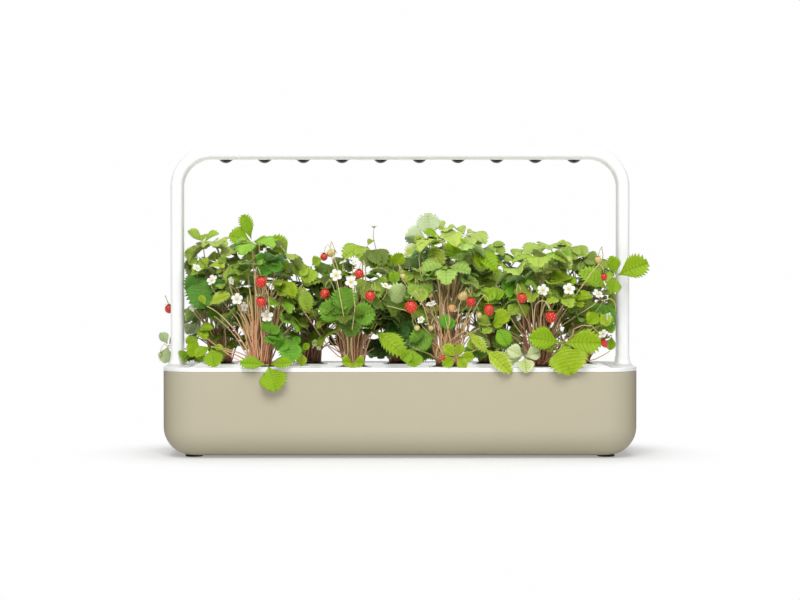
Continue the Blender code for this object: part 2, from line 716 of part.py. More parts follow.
def make_float_guide(material):
    flange_r = GUIDE_R + GUIDE_FLANGE
    inner_r = GUIDE_R - GUIDE_WALL
    place = (FLOAT_X, FLOAT_Y)
    bm = bmesh.new()
    add_turned(bm, [
        (inner_r, GUIDE_BOTTOM_Z),
        (GUIDE_R, GUIDE_BOTTOM_Z),
        (GUIDE_R, FLANGE_Z),
        (flange_r, FLANGE_Z),
        (flange_r, GUIDE_TOP_Z),
        (inner_r, GUIDE_TOP_Z),
    ], TURN_STEPS, place)
    guide = finished("float_guide", bm, material)
    web = helper_collection("float_guide_web")
    reach = GUIDE_R - GUIDE_WALL / 2
    root = GUIDE_SLEEVE_R - GUIDE_WALL / 4
    for spoke in range(GUIDE_SPOKES):
        angle = math.radians(90) + math.tau * spoke / GUIDE_SPOKES
        along = Vector((math.cos(angle), math.sin(angle)))
        side = Vector((-along.y, along.x)) * GUIDE_SPOKE / 2
        corners = [along * root - side, along * reach - side, along * reach + side, along * root + side]
        low = GUIDE_BOTTOM_Z + GUIDE_WALL / 2
        arm = bmesh.new()
        add_prism(arm, [tuple(corner) for corner in corners], low, low + GUIDE_SPOKE_HEIGHT, place)
        helper(f"guide_spoke_{spoke + 1}", arm, web)
    sleeve = bmesh.new()
    add_prism(sleeve, circle(GUIDE_SLEEVE_R, SMALL_TURN_STEPS), GUIDE_BOTTOM_Z, GUIDE_TOP_Z, place)
    helper("guide_sleeve", sleeve, web)
    boolean(guide, "UNION", web)
    bore = bmesh.new()
    low = GUIDE_BOTTOM_Z - OVERRUN
    add_prism(bore, circle(PEG_R + GAP, SMALL_TURN_STEPS), low, GUIDE_TOP_Z + OVERRUN, place)
    boolean(guide, "DIFFERENCE", helper("guide_bore_cutter", bore))


def make_float(material):
    place = (FLOAT_X, FLOAT_Y)
    knob_z = GUIDE_TOP_Z + PEG_RISE
    bm = bmesh.new()
    add_turned(bm, [
        (0, BULB_TOP_Z + GAP / 2),
        (PEG_R, BULB_TOP_Z + GAP / 2),
        (PEG_R, knob_z),
        (KNOB_R, knob_z + KNOB_HEIGHT / 2),
        (KNOB_R - KNOB_HEIGHT / 6, knob_z + KNOB_HEIGHT),
        (0, knob_z + KNOB_HEIGHT),
    ], SMALL_TURN_STEPS, place)
    finished("float_stem", bm, material)
    low = BULB_TOP_Z - BULB_HEIGHT - GAP / 2
    high = BULB_TOP_Z - GAP / 2
    bulb = bmesh.new()
    add_turned(bulb, [
        (0, low),
        (BULB_R - BULB_EDGE_R, low),
        (BULB_R, low + BULB_EDGE_R),
        (BULB_R, high - BULB_EDGE_R),
        (BULB_R - BULB_EDGE_R, high),
        (0, high),
    ], TURN_STEPS, place)
    finished("float_bulb", bulb, material)


def cup_level(wall, z, place):
    """A cup's tapered section at a height, drawn in by a wall."""
    fall = (FLANGE_Z - min(z, FLANGE_Z)) / CUP_HEIGHT
    return level(cup_outline(-wall - CUP_TAPER * fall), z, place)


def make_cup(number, place, material):
    floor = CUP_BOTTOM_Z + CUP_WALL
    hole = CUP_WALL + ROOT_HOLE_INSET
    bm = bmesh.new()
    add_loft(bm, [
        cup_level(hole, CUP_BOTTOM_Z, place),
        cup_level(0, CUP_BOTTOM_Z, place),
        cup_level(0, FLANGE_Z, place),
        level(cup_outline(CUP_FLANGE), FLANGE_Z, place),
        level(cup_outline(CUP_FLANGE), CUP_TOP_Z, place),
        cup_level(CUP_WALL, CUP_TOP_Z, place),
        cup_level(CUP_WALL, floor, place),
        cup_level(hole, floor, place),
    ], closed=True)
    finished(f"cup_{number}", bm, material)


def make_plug(number, place, material):
    inset = CUP_WALL + GAP
    bm = bmesh.new()
    add_loft(bm, [
        cup_level(inset, CUP_BOTTOM_Z + inset, place),
        cup_level(inset, CUP_TOP_Z, place),
        cup_level(inset + PLUG_DOME_INSET, PLUG_TOP_Z, place),
    ])
    finished(f"grow_plug_{number}", bm, material)


def room_limits(place):
    """Half planes in plan, as (normal, reach), that keep a plant clear of its neighbours and the lamp."""
    limits = []
    for other in pod_places():
        away = Vector(other) - Vector(place)
        if away.length > 0:
            limits.append((away.normalized(), away.length / 2 - LEAF_GAP / 2))
    leg_face = LEG_X - LEG_WIDTH / 2 - LEAF_LEG_GAP
    for sign in (LEFT, RIGHT):
        limits.append((Vector((sign, 0)), leg_face - sign * place[0]))
        limits.append((Vector((0, sign)), HALF_DEPTH - LEAF_EDGE_INSET - sign * place[1]))
    return limits


def kept_inside(point, hub, limits):
    """A rim point, drawn straight towards the leaf's middle as far as its plant's room asks."""
    share = 1
    for normal, reach in limits:
        start = normal.dot(hub.to_2d())
        run = normal.dot(point.to_2d()) - start
        if run > reach - start:
            share = min(share, (reach - start) / run)
    return hub + (point - hub) * share


def leaf_outline(hub, forward, across, up, length, limits):
    """The rim of a three-lobed leaf round its middle, folded along each lobe and drooping to the tips."""
    rim = []
    for lobe, turn in enumerate((-LOBE_SPREAD_DEG, 0, LOBE_SPREAD_DEG)):
        angle = math.radians(turn)
        along = forward * math.cos(angle) + across * math.sin(angle)
        side = across * math.cos(angle) - forward * math.sin(angle)
        shares = [(far, -width) for far, width in LOBE_SHARES] + [(1, 0)] + list(LOBE_SHARES[::-1])
        for far, width in shares:
            lift = LEAF_FOLD_SHARE * abs(width) - LEAF_DROOP_SHARE * far ** 2
            rim.append(hub + (along * far + side * width + up * lift) * length)
        notch_turn = turn + LOBE_SPREAD_DEG / 2 if lobe < 2 else 180
        notch = math.radians(notch_turn)
        inner = forward * math.cos(notch) + across * math.sin(notch)
        rim.append(hub + inner * NOTCH_SHARE * length)
    return [kept_inside(point, hub, limits) for point in rim]


def add_leaf(bm, hub, turn, tilt, length, limits):
    """A closed plate: a top and a bottom fan round the middle, joined along the rim."""
    heading = Vector((math.cos(turn), math.sin(turn), 0))
    across = Vector((-heading.y, heading.x, 0))
    forward = heading * math.cos(tilt) - Vector((0, 0, math.sin(tilt)))
    up = across.cross(forward) * -1
    rim = leaf_outline(hub, forward, across, up, length, limits)
    sheets = []
    for shift in (up * LEAF_THICK / 2, up * -LEAF_THICK / 2):
        centre = bm.verts.new(hub + shift)
        verts = [bm.verts.new(point + shift) for point in rim]
        for i in range(len(verts)):
            bm.faces.new((centre, verts[i - 1], verts[i]))
        sheets.append(verts)
    top, bottom = sheets
    for i in range(len(top)):
        bm.faces.new((top[i - 1], top[i], bottom[i], bottom[i - 1]))


def add_petiole(bm, start, knee, end):
    """A thin stalk along a bow from the crown to a leaf."""
    rings = []
    for step in range(PETIOLE_RINGS):
        t = step / (PETIOLE_RINGS - 1)
        point = start * (1 - t) ** 2 + knee * 2 * t * (1 - t) + end * t ** 2
        radius = PETIOLE_R + (PETIOLE_TIP_R - PETIOLE_R) * t
        rings.append(level(circle(radius, PETIOLE_SIDES), point.z, point))
    add_loft(bm, rings)


def leaf_places(number):
    """Leaves of one plant as (along, across, up, turn, tilt, size), the first three as shares."""
    places = []
    for index in range(LEAVES_PER_PLANT):
        far = index / (LEAVES_PER_PLANT - 1)
        turn = math.radians(PLANT_TURNS_DEG[number - 1] + LEAF_SPIRAL_DEG * index)
        reach = LEAF_NEAR_SHARE + (LEAF_FAR_SHARE - LEAF_NEAR_SHARE) * math.sqrt(far)
        height = 1 - (1 - LEAF_LOWEST_SHARE) * far
        tilt = math.radians(LEAF_TILT_DEG + LEAF_TILT_GAIN_DEG * far)
        places.append((reach * math.cos(turn), reach * math.sin(turn), height, turn, tilt, 1))
    for plant, along, across, height, turn, tilt, size in SIGN_LEAF_SHARES:
        if plant == number:
            places.append((along, across, height, math.radians(turn), math.radians(tilt), size))
    return places


def make_plant(number, place, material):
    limits = room_limits(place)
    foot = Vector((*place, PLANT_Z))
    top = PLANT_ROOM * PLANT_HEIGHT_SHARES[number - 1]
    parts = helper_collection(f"plant_{number}_parts")
    bm = bmesh.new()
    add_loft(bm, [
        level(circle(CROWN_R, CROWN_SIDES), PLANT_Z, place),
        level(circle(CROWN_TOP_R, CROWN_SIDES), PLANT_Z + CROWN_HEIGHT, place),
    ])
    plant = finished(f"plant_{number}", bm, material)
    for index, (along, across, height, turn, tilt, size) in enumerate(leaf_places(number), 1):
        out = Vector((along * POD_PITCH / 2, across * ROW_Y, 0))
        hub = foot + out + Vector((0, 0, height * top))
        leaf = bmesh.new()
        local = Vector((hub.x - place[0], hub.y - place[1], hub.z))
        add_leaf(leaf, local, turn, tilt, LEAF_LENGTH * size, limits)
        bmesh.ops.translate(leaf, verts=leaf.verts, vec=(place[0], place[1], 0))
        helper(f"plant_{number}_leaf_{index}", leaf, parts)
        stalk = bmesh.new()
        root = foot + out.normalized() * CROWN_R / 2 + Vector((0, 0, CROWN_HEIGHT / 3))
        knee = foot + out * KNEE_OUT_SHARE + Vector((0, 0, height * top * KNEE_UP_SHARE))
        add_petiole(stalk, root, knee, hub + Vector((0, 0, LEAF_THICK)))
        helper(f"plant_{number}_petiole_{index}", stalk, parts)
    boolean(plant, "UNION", parts)


def main():
    clear_scene()
    clay = plain_material("clay_plastic", (0.55, 0.50, 0.38), 0.6)
    white = plain_material("white_plastic", (0.88, 0.88, 0.87), 0.4)
    rubber = plain_material("foot_rubber", (0.03, 0.03, 0.03), 0.85)
    smoked = plain_material("lens_plastic", (0.06, 0.06, 0.055), 0.25)
    board = plain_material("board", (0.03, 0.22, 0.10), 0.5)
    wire = plain_material("wire", (0.04, 0.04, 0.04), 0.6)
    peat = plain_material("grow_medium", (0.09, 0.055, 0.035), 0.95)
    leaf = plain_material("leaf", (0.16, 0.40, 0.05), 0.5)
    make_water_tank(clay)
    make_feet(rubber)
    make_planting_tray(white)
    make_leg_sockets(white)
    make_leg_spigots(white)
    make_leg_collars(white)
    make_lamp_arch(white)
    make_light_cover(white)
    make_lenses(smoked)
    make_led_board(board)
    make_timer_board(board)
    make_dc_inlet(wire)
    make_lamp_wire(wire)
    make_float_guide(white)
    make_float(white)
    for number, place in enumerate(pod_places(), 1):
        make_cup(number, place, white)
        make_plug(number, place, peat)
        make_plant(number, place, leaf)


main()
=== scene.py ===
"""Looks of the countertop garden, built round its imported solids.

The file is laid out as an add-on and run as a script. Each operator makes one piece or a group of like
pieces in the frame of the solids: metres, +X to the right, +Y to the back, +Z up.
"""

import math
import random
from collections import namedtuple

import bmesh
import bpy
from mathutils import Matrix, Vector


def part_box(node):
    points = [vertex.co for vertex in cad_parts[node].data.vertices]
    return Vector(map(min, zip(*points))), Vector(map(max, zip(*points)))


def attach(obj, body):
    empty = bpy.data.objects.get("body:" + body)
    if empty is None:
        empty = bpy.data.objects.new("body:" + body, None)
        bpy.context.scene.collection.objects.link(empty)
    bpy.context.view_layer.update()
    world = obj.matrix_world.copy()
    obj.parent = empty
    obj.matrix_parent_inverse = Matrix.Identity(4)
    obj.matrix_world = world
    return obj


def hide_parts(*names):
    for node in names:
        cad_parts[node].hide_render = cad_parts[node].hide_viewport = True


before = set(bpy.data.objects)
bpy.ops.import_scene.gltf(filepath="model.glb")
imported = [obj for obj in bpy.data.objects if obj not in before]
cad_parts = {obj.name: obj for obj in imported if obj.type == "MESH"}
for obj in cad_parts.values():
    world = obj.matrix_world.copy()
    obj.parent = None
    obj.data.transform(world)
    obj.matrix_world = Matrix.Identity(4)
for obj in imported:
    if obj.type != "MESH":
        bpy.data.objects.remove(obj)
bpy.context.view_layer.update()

bl_info = {
    "name": "Countertop Garden",
    "version": (1, 0, 0),
    "blender": (4, 5, 0),
    "location": "3D View > Sidebar > Garden",
    "description": "Builds the tank, tray, lamp arch and plants of a countertop garden",
    "category": "Add Mesh",
}

# Solids whose boxes give places and sizes
TANK_LOW, TANK_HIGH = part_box("water_tank")
TRAY_LOW, TRAY_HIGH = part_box("planting_tray")
ARCH_LOW, ARCH_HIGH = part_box("lamp_arch")
COVER_LOW, COVER_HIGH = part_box("light_cover")
GUIDE_LOW, GUIDE_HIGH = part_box("float_guide")
STEM_LOW, STEM_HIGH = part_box("float_stem")
INLET_LOW, INLET_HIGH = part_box("dc_inlet")
SPIGOT_LOW, SPIGOT_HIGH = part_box("leg_spigot_left")
CUP_LOW, CUP_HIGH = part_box("cup_5")
PLUG_LOW, PLUG_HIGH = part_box("grow_plug_5")
LENS_LOW, LENS_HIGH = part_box("lens_01")
FOOT_LOW, FOOT_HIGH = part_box("foot_front_left")
COLLAR_LOW, COLLAR_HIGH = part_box("leg_collar_left")

PLANTS = range(1, 10)
LENSES = range(1, 11)
UP = Vector((0, 0, 1))
TOWARDS_VIEWER = Vector((0, -1, 0))

# Clearance between separate pieces that meet, and how far a cutter runs past what it cuts
GAP = 0.0003
OVERRUN = 0.003

# Angles over which an edge is sharp: on moulded pieces, on the knob's facets and on soft pieces
SHARP = math.radians(32)
FACET_SHARP = math.radians(20)
SOFT_SHARP = 3
FACE_WEIGHT = 100

# Where the photograph's camera stands, and the pixels of its picture that fix it
CAMERA_BACK = 2.4
CAMERA_HEIGHT = 0.235
SENSOR_WIDTH = 0.036
PICTURE_WIDTH_PX = 800
FOCAL_PX = 1825
MIDDLE_PX = (400, 300)
HORIZON_PX = 274.2


def length(name, description, default):
    """A length of the panel, in metres."""
    return bpy.props.FloatProperty(name=name, description=description, default=default, unit="LENGTH")


def count(name, description, default):
    """A whole number of the panel."""
    return bpy.props.IntProperty(name=name, description=description, default=default, min=0)


class GardenSizes(bpy.types.PropertyGroup):
    """Sizes of the moulded pieces that their solids' boxes don't give."""

    tank_corner: length("Tank corner", "Radius of the tank's upright corners", 0.048)
    tank_fillet: length("Tank fillet", "Radius round the tank's bottom edge", 0.036)
    tank_wall: length("Tank wall", "Thickness of the tank's wall", 0.003)
    tray_rim: length("Tray rim", "Width of the rim along the tray's long sides", 0.006)
    tray_edge: length("Tray edge", "Radius on the tray's outer edge", 0.0012)
    tray_plate: length("Tray plate", "Thickness of the tray's deck", 0.0032)
    tray_rim_height: length("Tray rim height", "Height of the rim over the tank", 0.0052)
    deck_corner: length("Deck corner", "Corner radius of the sunken deck", 0.018)
    deck_half_length: length("Deck half length", "Half length of the sunken deck", 0.2727)
    leg_width: length("Leg width", "Width of the arch's bar seen from the front", 0.016)
    leg_corner: length("Leg corner", "Corner radius of the arch's bar", 0.006)
    bend_radius: length("Bend radius", "Outer radius of the arch's two bends", 0.053)
    lens_radius: length("Lens radius", "Radius of a lens", 0.0085)
    lens_depth: length("Lens depth", "How far a lens bulges under its rim", 0.0041)
    cup_corner: length("Cup corner", "Corner radius of a cup's body", 0.009)
    cup_flange: length("Cup flange", "Width of a cup's flange", 0.003)
    cup_wall: length("Cup wall", "Thickness of a cup's wall", 0.0012)


class PlantSizes(bpy.types.PropertyGroup):
    """Sizes and counts of the plants."""

    leaf_thickness: length("Leaf thickness", "Thickness of a leaf's blade", 0.0004)
    petal_thickness: length("Petal thickness", "Thickness of a petal", 0.00025)
    filler_length: length("Inner leaflet length", "Length of the leaflets inside the foliage", 0.027)
    fillers: count("Inner leaves", "Leaves inside the foliage of one plant", 38)
    bundle: count("Bundle stalks", "Bare stalks in the bundle of one plant", 34)
    stalk_radius: length("Stalk radius", "Radius of a stalk at the crown", 0.00105)
    petal_length: bpy.props.FloatProperty(
        name="Petal length", description="Length of a petal, as a share of a flower's radius", default=0.86
    )
    seeds: count("Seeds", "Seeds on one berry", 42)


def colour(name, description, red, green, blue):
    """A colour of the panel, given as a linear value."""
    return bpy.props.FloatVectorProperty(
        name=name, description=description, default=(red, green, blue),
        subtype="COLOR", size=3, min=0, max=1,
    )


class GardenColours(bpy.types.PropertyGroup):
    """Colours of the garden's finishes."""

    clay: colour("Clay", "Tank's matt plastic", 0.505, 0.463, 0.340)
    white: colour("White", "Arch, tray rim and cups", 0.83, 0.83, 0.825)
    deck: colour("Deck", "Tray's glossy deck", 0.86, 0.86, 0.87)
    smoked: colour("Smoked", "Lenses", 0.032, 0.032, 0.030)
    rubber: colour("Rubber", "Feet", 0.022, 0.022, 0.024)
    board: colour("Board", "Circuit boards", 0.02, 0.13, 0.06)
    sheath: colour("Sheath", "Lead and inlet", 0.02, 0.02, 0.02)
    peat: colour("Peat", "Grow plugs", 0.055, 0.032, 0.018)
    petal: colour("Petal", "Flower petals", 0.88, 0.88, 0.84)
    pollen: colour("Pollen", "Middles of the flowers", 0.66, 0.58, 0.18)
    seed: colour("Seed", "Seeds on the berries", 0.78, 0.50, 0.12)
    stalk_red: colour("Stalk foot", "Stalks near the crown", 0.78, 0.28, 0.19)
    stalk_green: colour("Stalk top", "Stalks near the leaves", 0.68, 0.66, 0.28)
    floor: colour("Floor", "Plain pale floor", 0.85, 0.85, 0.85)


def sizes():
    return bpy.context.scene.garden_sizes


def plant_sizes():
    return bpy.context.scene.garden_plants


def colours():
    return bpy.context.scene.garden_colours


def middle_of(name):
    """Middle of a solid's box in plan, at the box's lowest level."""
    low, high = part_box(name)
    return Vector(((low.x + high.x) / 2, (low.y + high.y) / 2, low.z))


POD_PLACES = {number: middle_of(f"grow_plug_{number}") for number in PLANTS}
POD_STEP = Vector((POD_PLACES[2].x - POD_PLACES[1].x, POD_PLACES[1].y))
LENS_X = [middle_of(f"lens_{number:02d}").x for number in LENSES]
LEG_X = middle_of("leg_spigot_right").x
CROWN_Z = PLUG_HIGH.z
HALF_LENGTH = TANK_HIGH.x
HALF_DEPTH = TANK_HIGH.y


# Shader groups and materials


def add_node(tree, kind, **settings):
    node = tree.nodes.new(kind)
    for name, value in settings.items():
        setattr(node, name, value)
    return node


def set_inputs(node, **values):
    """Set inputs by their labels, with _ for a space."""
    for label, value in values.items():
        node.inputs[label.replace("_", " ")].default_value = value


def math_node(tree, operation, first, second=None, clamp=False):
    """A Math node whose two inputs are sockets or numbers. Returns its output socket."""
    node = add_node(tree, "ShaderNodeMath", operation=operation, use_clamp=clamp)
    for socket, value in zip(node.inputs, (first, second)):
        if isinstance(value, bpy.types.NodeSocket):
            tree.links.new(value, socket)
        elif value is not None:
            socket.default_value = value
    return node.outputs[0]


def noise(tree, scale, detail, place):
    node = add_node(tree, "ShaderNodeTexNoise")
    set_inputs(node, Scale=scale, Detail=detail)
    tree.links.new(place, node.inputs["Vector"])
    return node.outputs["Fac"]


def attribute(tree, name):
    return add_node(tree, "ShaderNodeAttribute", attribute_name=name).outputs["Fac"]


def object_place(tree):
    return add_node(tree, "ShaderNodeTexCoord").outputs["Object"]


def mixed(tree, share, first, second, blend="MIX"):
    """A colour mix. Each colour is a socket or a linear colour. Returns the colour socket."""
    node = add_node(tree, "ShaderNodeMix", data_type="RGBA", blend_type=blend)
    factor, inputs = node.inputs["Factor"], (node.inputs[6], node.inputs[7])
    if isinstance(share, bpy.types.NodeSocket):
        tree.links.new(share, factor)
    else:
        factor.default_value = share
    for socket, value in zip(inputs, (first, second)):
        if isinstance(value, bpy.types.NodeSocket):
            tree.links.new(value, socket)
        else:
            socket.default_value = (*value, 1)
    return node.outputs[2]


def ramp(tree, value, stops):
    """A colour ramp over (place, colour) stops. Returns its colour socket."""
    node = add_node(tree, "ShaderNodeValToRGB")
    elements = node.color_ramp.elements
    while len(elements) < len(stops):
        elements.new(0.5)
    for element, (place, value_colour) in zip(elements, stops):
        element.position = place
        element.color = (*value_colour, 1)
    tree.links.new(value, node.inputs["Fac"])
    return node.outputs["Color"]


def new_group(name, inputs, outputs):
    """A shader group with float inputs as (name, default) and outputs by name."""
    group = bpy.data.node_groups.new(name, "ShaderNodeTree")
    for label, default in inputs:
        socket = group.interface.new_socket(name=label, in_out="INPUT", socket_type="NodeSocketFloat")
        socket.default_value = default
    for label in outputs:
        group.interface.new_socket(name=label, in_out="OUTPUT", socket_type="NodeSocketFloat")
    return group, add_node(group, "NodeGroupInput"), add_node(group, "NodeGroupOutput")


def centred(tree, value):
    """A value from 0 to 1, moved to lie about zero."""
    return math_node(tree, "SUBTRACT", value, 0.5)


def moulded_skin_group():
    """Fine grain and slow clouding of a moulded surface."""
    group, given, put = new_group(
        "Moulded skin", [("Grain Scale", 900), ("Cloud Scale", 9)], ["Height", "Cloud", "Speck"]
    )
    place = object_place(group)
    for label, scale_name, detail in (("Height", "Grain Scale", 2), ("Cloud", "Cloud Scale", 3)):
        node = add_node(group, "ShaderNodeTexNoise")
        node.inputs["Detail"].default_value = detail
        group.links.new(place, node.inputs["Vector"])
        group.links.new(given.outputs[scale_name], node.inputs["Scale"])
        group.links.new(node.outputs["Fac"], put.inputs[label])
    specks = noise(group, scale=2600, detail=1, place=place)
    group.links.new(centred(group, specks), put.inputs["Speck"])
    return group


# Of a leaf's veins: where across the blade the side veins have faded out, how much the fine grain adds to
# the height, and how narrow the margin is
VEIN_FADE = 1.05
GRAIN_SHARE = 0.25
MARGIN_POWER = 6


def leaf_veins_group():
    """Midrib and side veins of a blade, from its UV map and its vein count, with a soft mottle."""
    group, given, put = new_group(
        "Leaf veins", [("Midrib Width", 0.07), ("Vein Width", 0.3)], ["Vein", "Height", "Mottle", "Margin"]
    )
    split = add_node(group, "ShaderNodeSeparateXYZ")
    group.links.new(add_node(group, "ShaderNodeTexCoord").outputs["UV"], split.inputs[0])

    def ridge(value, width_name):
        """One in the middle of a value's range and zero a width away, and how far off the middle it is."""
        off = math_node(group, "MULTIPLY", math_node(group, "ABSOLUTE", centred(group, value)), 2)
        share = math_node(group, "DIVIDE", off, given.outputs[width_name])
        return math_node(group, "SUBTRACT", 1, share, clamp=True), off

    midrib, across = ridge(split.outputs["X"], "Midrib Width")
    side, _ = ridge(math_node(group, "FRACT", attribute(group, "vein")), "Vein Width")
    faded = math_node(group, "MULTIPLY", side, math_node(group, "SUBTRACT", VEIN_FADE, across, clamp=True))
    vein = math_node(group, "MAXIMUM", midrib, faded)
    place = object_place(group)
    mottle = noise(group, scale=190, detail=4, place=place)
    grain = math_node(group, "MULTIPLY", noise(group, scale=1500, detail=2, place=place), GRAIN_SHARE)
    height = math_node(group, "SUBTRACT", grain, vein)
    margin = math_node(group, "POWER", across, MARGIN_POWER, clamp=True)
    for label, socket in (("Vein", vein), ("Height", height), ("Mottle", mottle), ("Margin", margin)):
        group.links.new(socket, put.inputs[label])
    return group


def group_node(tree, name, **values):
    """Place a shader group in a material with its own values."""
    makers = {"Moulded skin": moulded_skin_group, "Leaf veins": leaf_veins_group}
    group = bpy.data.node_groups.get(name) or makers[name]()
    node = add_node(tree, "ShaderNodeGroup", node_tree=group)
    set_inputs(node, **values)
    return node


def made_once(name):
    """Decorate a material's maker, so that the material is made once and found by its name after that."""
    def decorate(make):
        return lambda: bpy.data.materials.get(name) or make(name)
    return decorate


def new_material(name, roughness, **constants):
    """A Principled material. Returns the material, its tree and its shader."""
    material = bpy.data.materials.new(name)
    material.use_nodes = True
    tree = material.node_tree
    shader = tree.nodes["Principled BSDF"]
    set_inputs(shader, Roughness=roughness, **constants)
    return material, tree, shader


def add_bump(tree, shader, height, strength, distance):
    bump = add_node(tree, "ShaderNodeBump")
    set_inputs(bump, Strength=strength, Distance=distance)
    tree.links.new(height, bump.inputs["Height"])
    tree.links.new(bump.outputs["Normal"], shader.inputs["Normal"])


def scaled(base, share):
    return tuple(min(1.0, channel * share) for channel in base)


# Of a moulded skin: how much its specks change the roughness, how strong its grain is, and how fast the
# painted shade at its edges fades where the surface looks down
SPECK_SHARE = 0.12
GRAIN_STRENGTH = 0.5
DOWNWARD_POWER = 0.7
WHITE = (1, 1, 1, 1)


def painted_edge_shade(tree, power):
    """Share of painted shade: how far a surface that doesn't look down turns away from the viewer."""
    weight = add_node(tree, "ShaderNodeLayerWeight")
    set_inputs(weight, Blend=0.5)
    away = math_node(tree, "POWER", weight.outputs["Facing"], power, clamp=True)
    normal = add_node(tree, "ShaderNodeSeparateXYZ")
    tree.links.new(add_node(tree, "ShaderNodeNewGeometry").outputs["Normal"], normal.inputs[0])
    down = math_node(tree, "MULTIPLY", normal.outputs["Z"], -1, clamp=True)
    level = math_node(tree, "SUBTRACT", 1, math_node(tree, "POWER", down, DOWNWARD_POWER), clamp=True)
    return math_node(tree, "MULTIPLY", away, level)


def moulded(name, base, roughness, grain, depth, cloud=0.03, edge=None, edge_shade_power=2.4, **constants):
    """Moulded plastic or rubber: a base colour that clouds a little, with a fine grain.

    An edge colour darkens the base as painted shade where the surface turns away from the viewer.
    """
    material, tree, shader = new_material(name, roughness, **constants)
    skin = group_node(tree, "Moulded skin", Grain_Scale=grain)
    tint = mixed(tree, skin.outputs["Cloud"], scaled(base, 1 - cloud), scaled(base, 1 + cloud))
    # Painted shade: the edge colour darkens the base where the surface turns away from the viewer
    if edge:
        tint = mixed(tree, painted_edge_shade(tree, edge_shade_power), tint, mixed(tree, 1.0, tint, edge, "MULTIPLY"))
    tree.links.new(tint, shader.inputs["Base Color"])
    specks = math_node(tree, "MULTIPLY", skin.outputs["Speck"], SPECK_SHARE)
    tree.links.new(math_node(tree, "ADD", specks, roughness), shader.inputs["Roughness"])
    add_bump(tree, shader, skin.outputs["Height"], GRAIN_STRENGTH, depth)
    return material


@made_once("Clay plastic")
def clay_plastic(name):
    # The edge colour is painted shade that darkens the tank where it turns away from the viewer
    return moulded(
        name, colours().clay, roughness=0.56, grain=1500, depth=0.00004, cloud=0.012,
        edge=(0.22, 0.20, 0.14), Specular_IOR_Level=0.25,
    )


@made_once("White plastic")
def white_plastic(name):
    # The edge colour is painted shade that greys the white where it turns away from the viewer
    return moulded(
        name, colours().white, roughness=0.36, grain=1100, depth=0.00002, cloud=0.01,
        # The emission is a painted glow that lightens the white plastic
        edge=(0.62, 0.62, 0.63), edge_shade_power=1.5, Emission_Color=WHITE, Emission_Strength=0.12,
    )


@made_once("Deck plastic")
def deck_plastic(name):
    # The emission is a painted glow that lightens the deck
    return moulded(
        name, colours().deck, roughness=0.3, grain=500, depth=0.00001, cloud=0.01,
        Specular_IOR_Level=0.06, Emission_Color=WHITE, Emission_Strength=0.42,
    )


@made_once("Smoked plastic")
def smoked_plastic(name):
    return moulded(name, colours().smoked, roughness=0.22, grain=700, depth=0.00001, cloud=0.1)


@made_once("Foot rubber")
def foot_rubber(name):
    return moulded(name, colours().rubber, roughness=0.8, grain=1800, depth=0.0001, cloud=0.15)


@made_once("Sheath plastic")
def sheath_plastic(name):
    return moulded(name, colours().sheath, roughness=0.5, grain=1500, depth=0.00003, cloud=0.1)


@made_once("Pollen")
def pollen(name):
    return moulded(name, colours().pollen, roughness=0.7, grain=2200, depth=0.0001, cloud=0.25)


@made_once("Seed")
def seed_husk(name):
    return moulded(name, colours().seed, roughness=0.45, grain=2200, depth=0.0001, cloud=0.25)


@made_once("Board lacquer")
def board_lacquer(name):
    """Green lacquer with a fine lattice of tracks."""
    material, tree, shader = new_material(name, roughness=0.4)
    tracks = add_node(tree, "ShaderNodeTexBrick")
    set_inputs(
        tracks, Scale=260, Color1=(*colours().board, 1), Color2=(*scaled(colours().board, 0.8), 1),
        Mortar=(*scaled(colours().board, 1.9), 1),
    )
    tree.links.new(object_place(tree), tracks.inputs["Vector"])
    tree.links.new(tracks.outputs["Color"], shader.inputs["Base Color"])
    add_bump(tree, shader, tracks.outputs["Fac"], strength=0.3, distance=0.00004)
    return material


@made_once("Peat")
def peat(name):
    """Fibrous dark peat, with pale specks and a coarse rough skin."""
    material, tree, shader = new_material(name, roughness=0.95)
    place = object_place(tree)
    lumps = noise(tree, scale=420, detail=6, place=place)
    fibres = noise(tree, scale=1700, detail=3, place=place)
    base = colours().peat
    crumbs = ramp(tree, lumps, [(0.3, scaled(base, 0.35)), (0.55, base), (0.75, scaled(base, 3.2))])
    tree.links.new(crumbs, shader.inputs["Base Color"])
    add_bump(tree, shader, math_node(tree, "ADD", lumps, fibres), strength=0.9, distance=0.0006)
    return material


# Greens of a leaf by tone, from dark leaves inside the foliage, whose dark green is painted shade, to pale
# leaves, whose paleness is partly a painted sheen
LEAF_GREENS = [
    (0.00, (0.030, 0.044, 0.006)),
    (0.20, (0.115, 0.170, 0.012)),
    (0.42, (0.270, 0.385, 0.022)),
    (0.60, (0.390, 0.525, 0.024)),
    (0.70, (0.270, 0.450, 0.010)),
    (0.82, (0.310, 0.450, 0.003)),
    (0.92, (0.500, 0.580, 0.050)),
    (1.00, (0.760, 0.790, 0.400)),
]
UNDERSIDE_GREENS = [
    (0.00, (0.090, 0.130, 0.036)),
    (0.40, (0.270, 0.380, 0.080)),
    (0.70, (0.470, 0.570, 0.180)),
    (1.00, (0.700, 0.770, 0.420)),
]
# Pale green towards which a leaf turns, partly its own paleness and partly a painted sheen near the top of
# the foliage
PALE_GREEN = (0.66, 0.73, 0.24)
# What a leaf of the coolest green keeps of its red, green and blue
COOL_SHARE = (0.30, 0.92, 1.5)
RIPENING = [
    (0.00, (0.470, 0.560, 0.240)),
    (0.30, (0.760, 0.680, 0.290)),
    (0.55, (0.780, 0.420, 0.200)),
    (0.80, (0.690, 0.050, 0.030)),
    (1.00, (0.600, 0.012, 0.016)),
]


# Of a leaf's colour: how much its mottle and its margin shift the tone, and the shares of the pale green
# and of the veins' tint
MOTTLE_SHIFT = 0.17
MARGIN_SHIFT = 0.07
PALE_SHARE = 0.8
VEIN_SHARE = 0.3


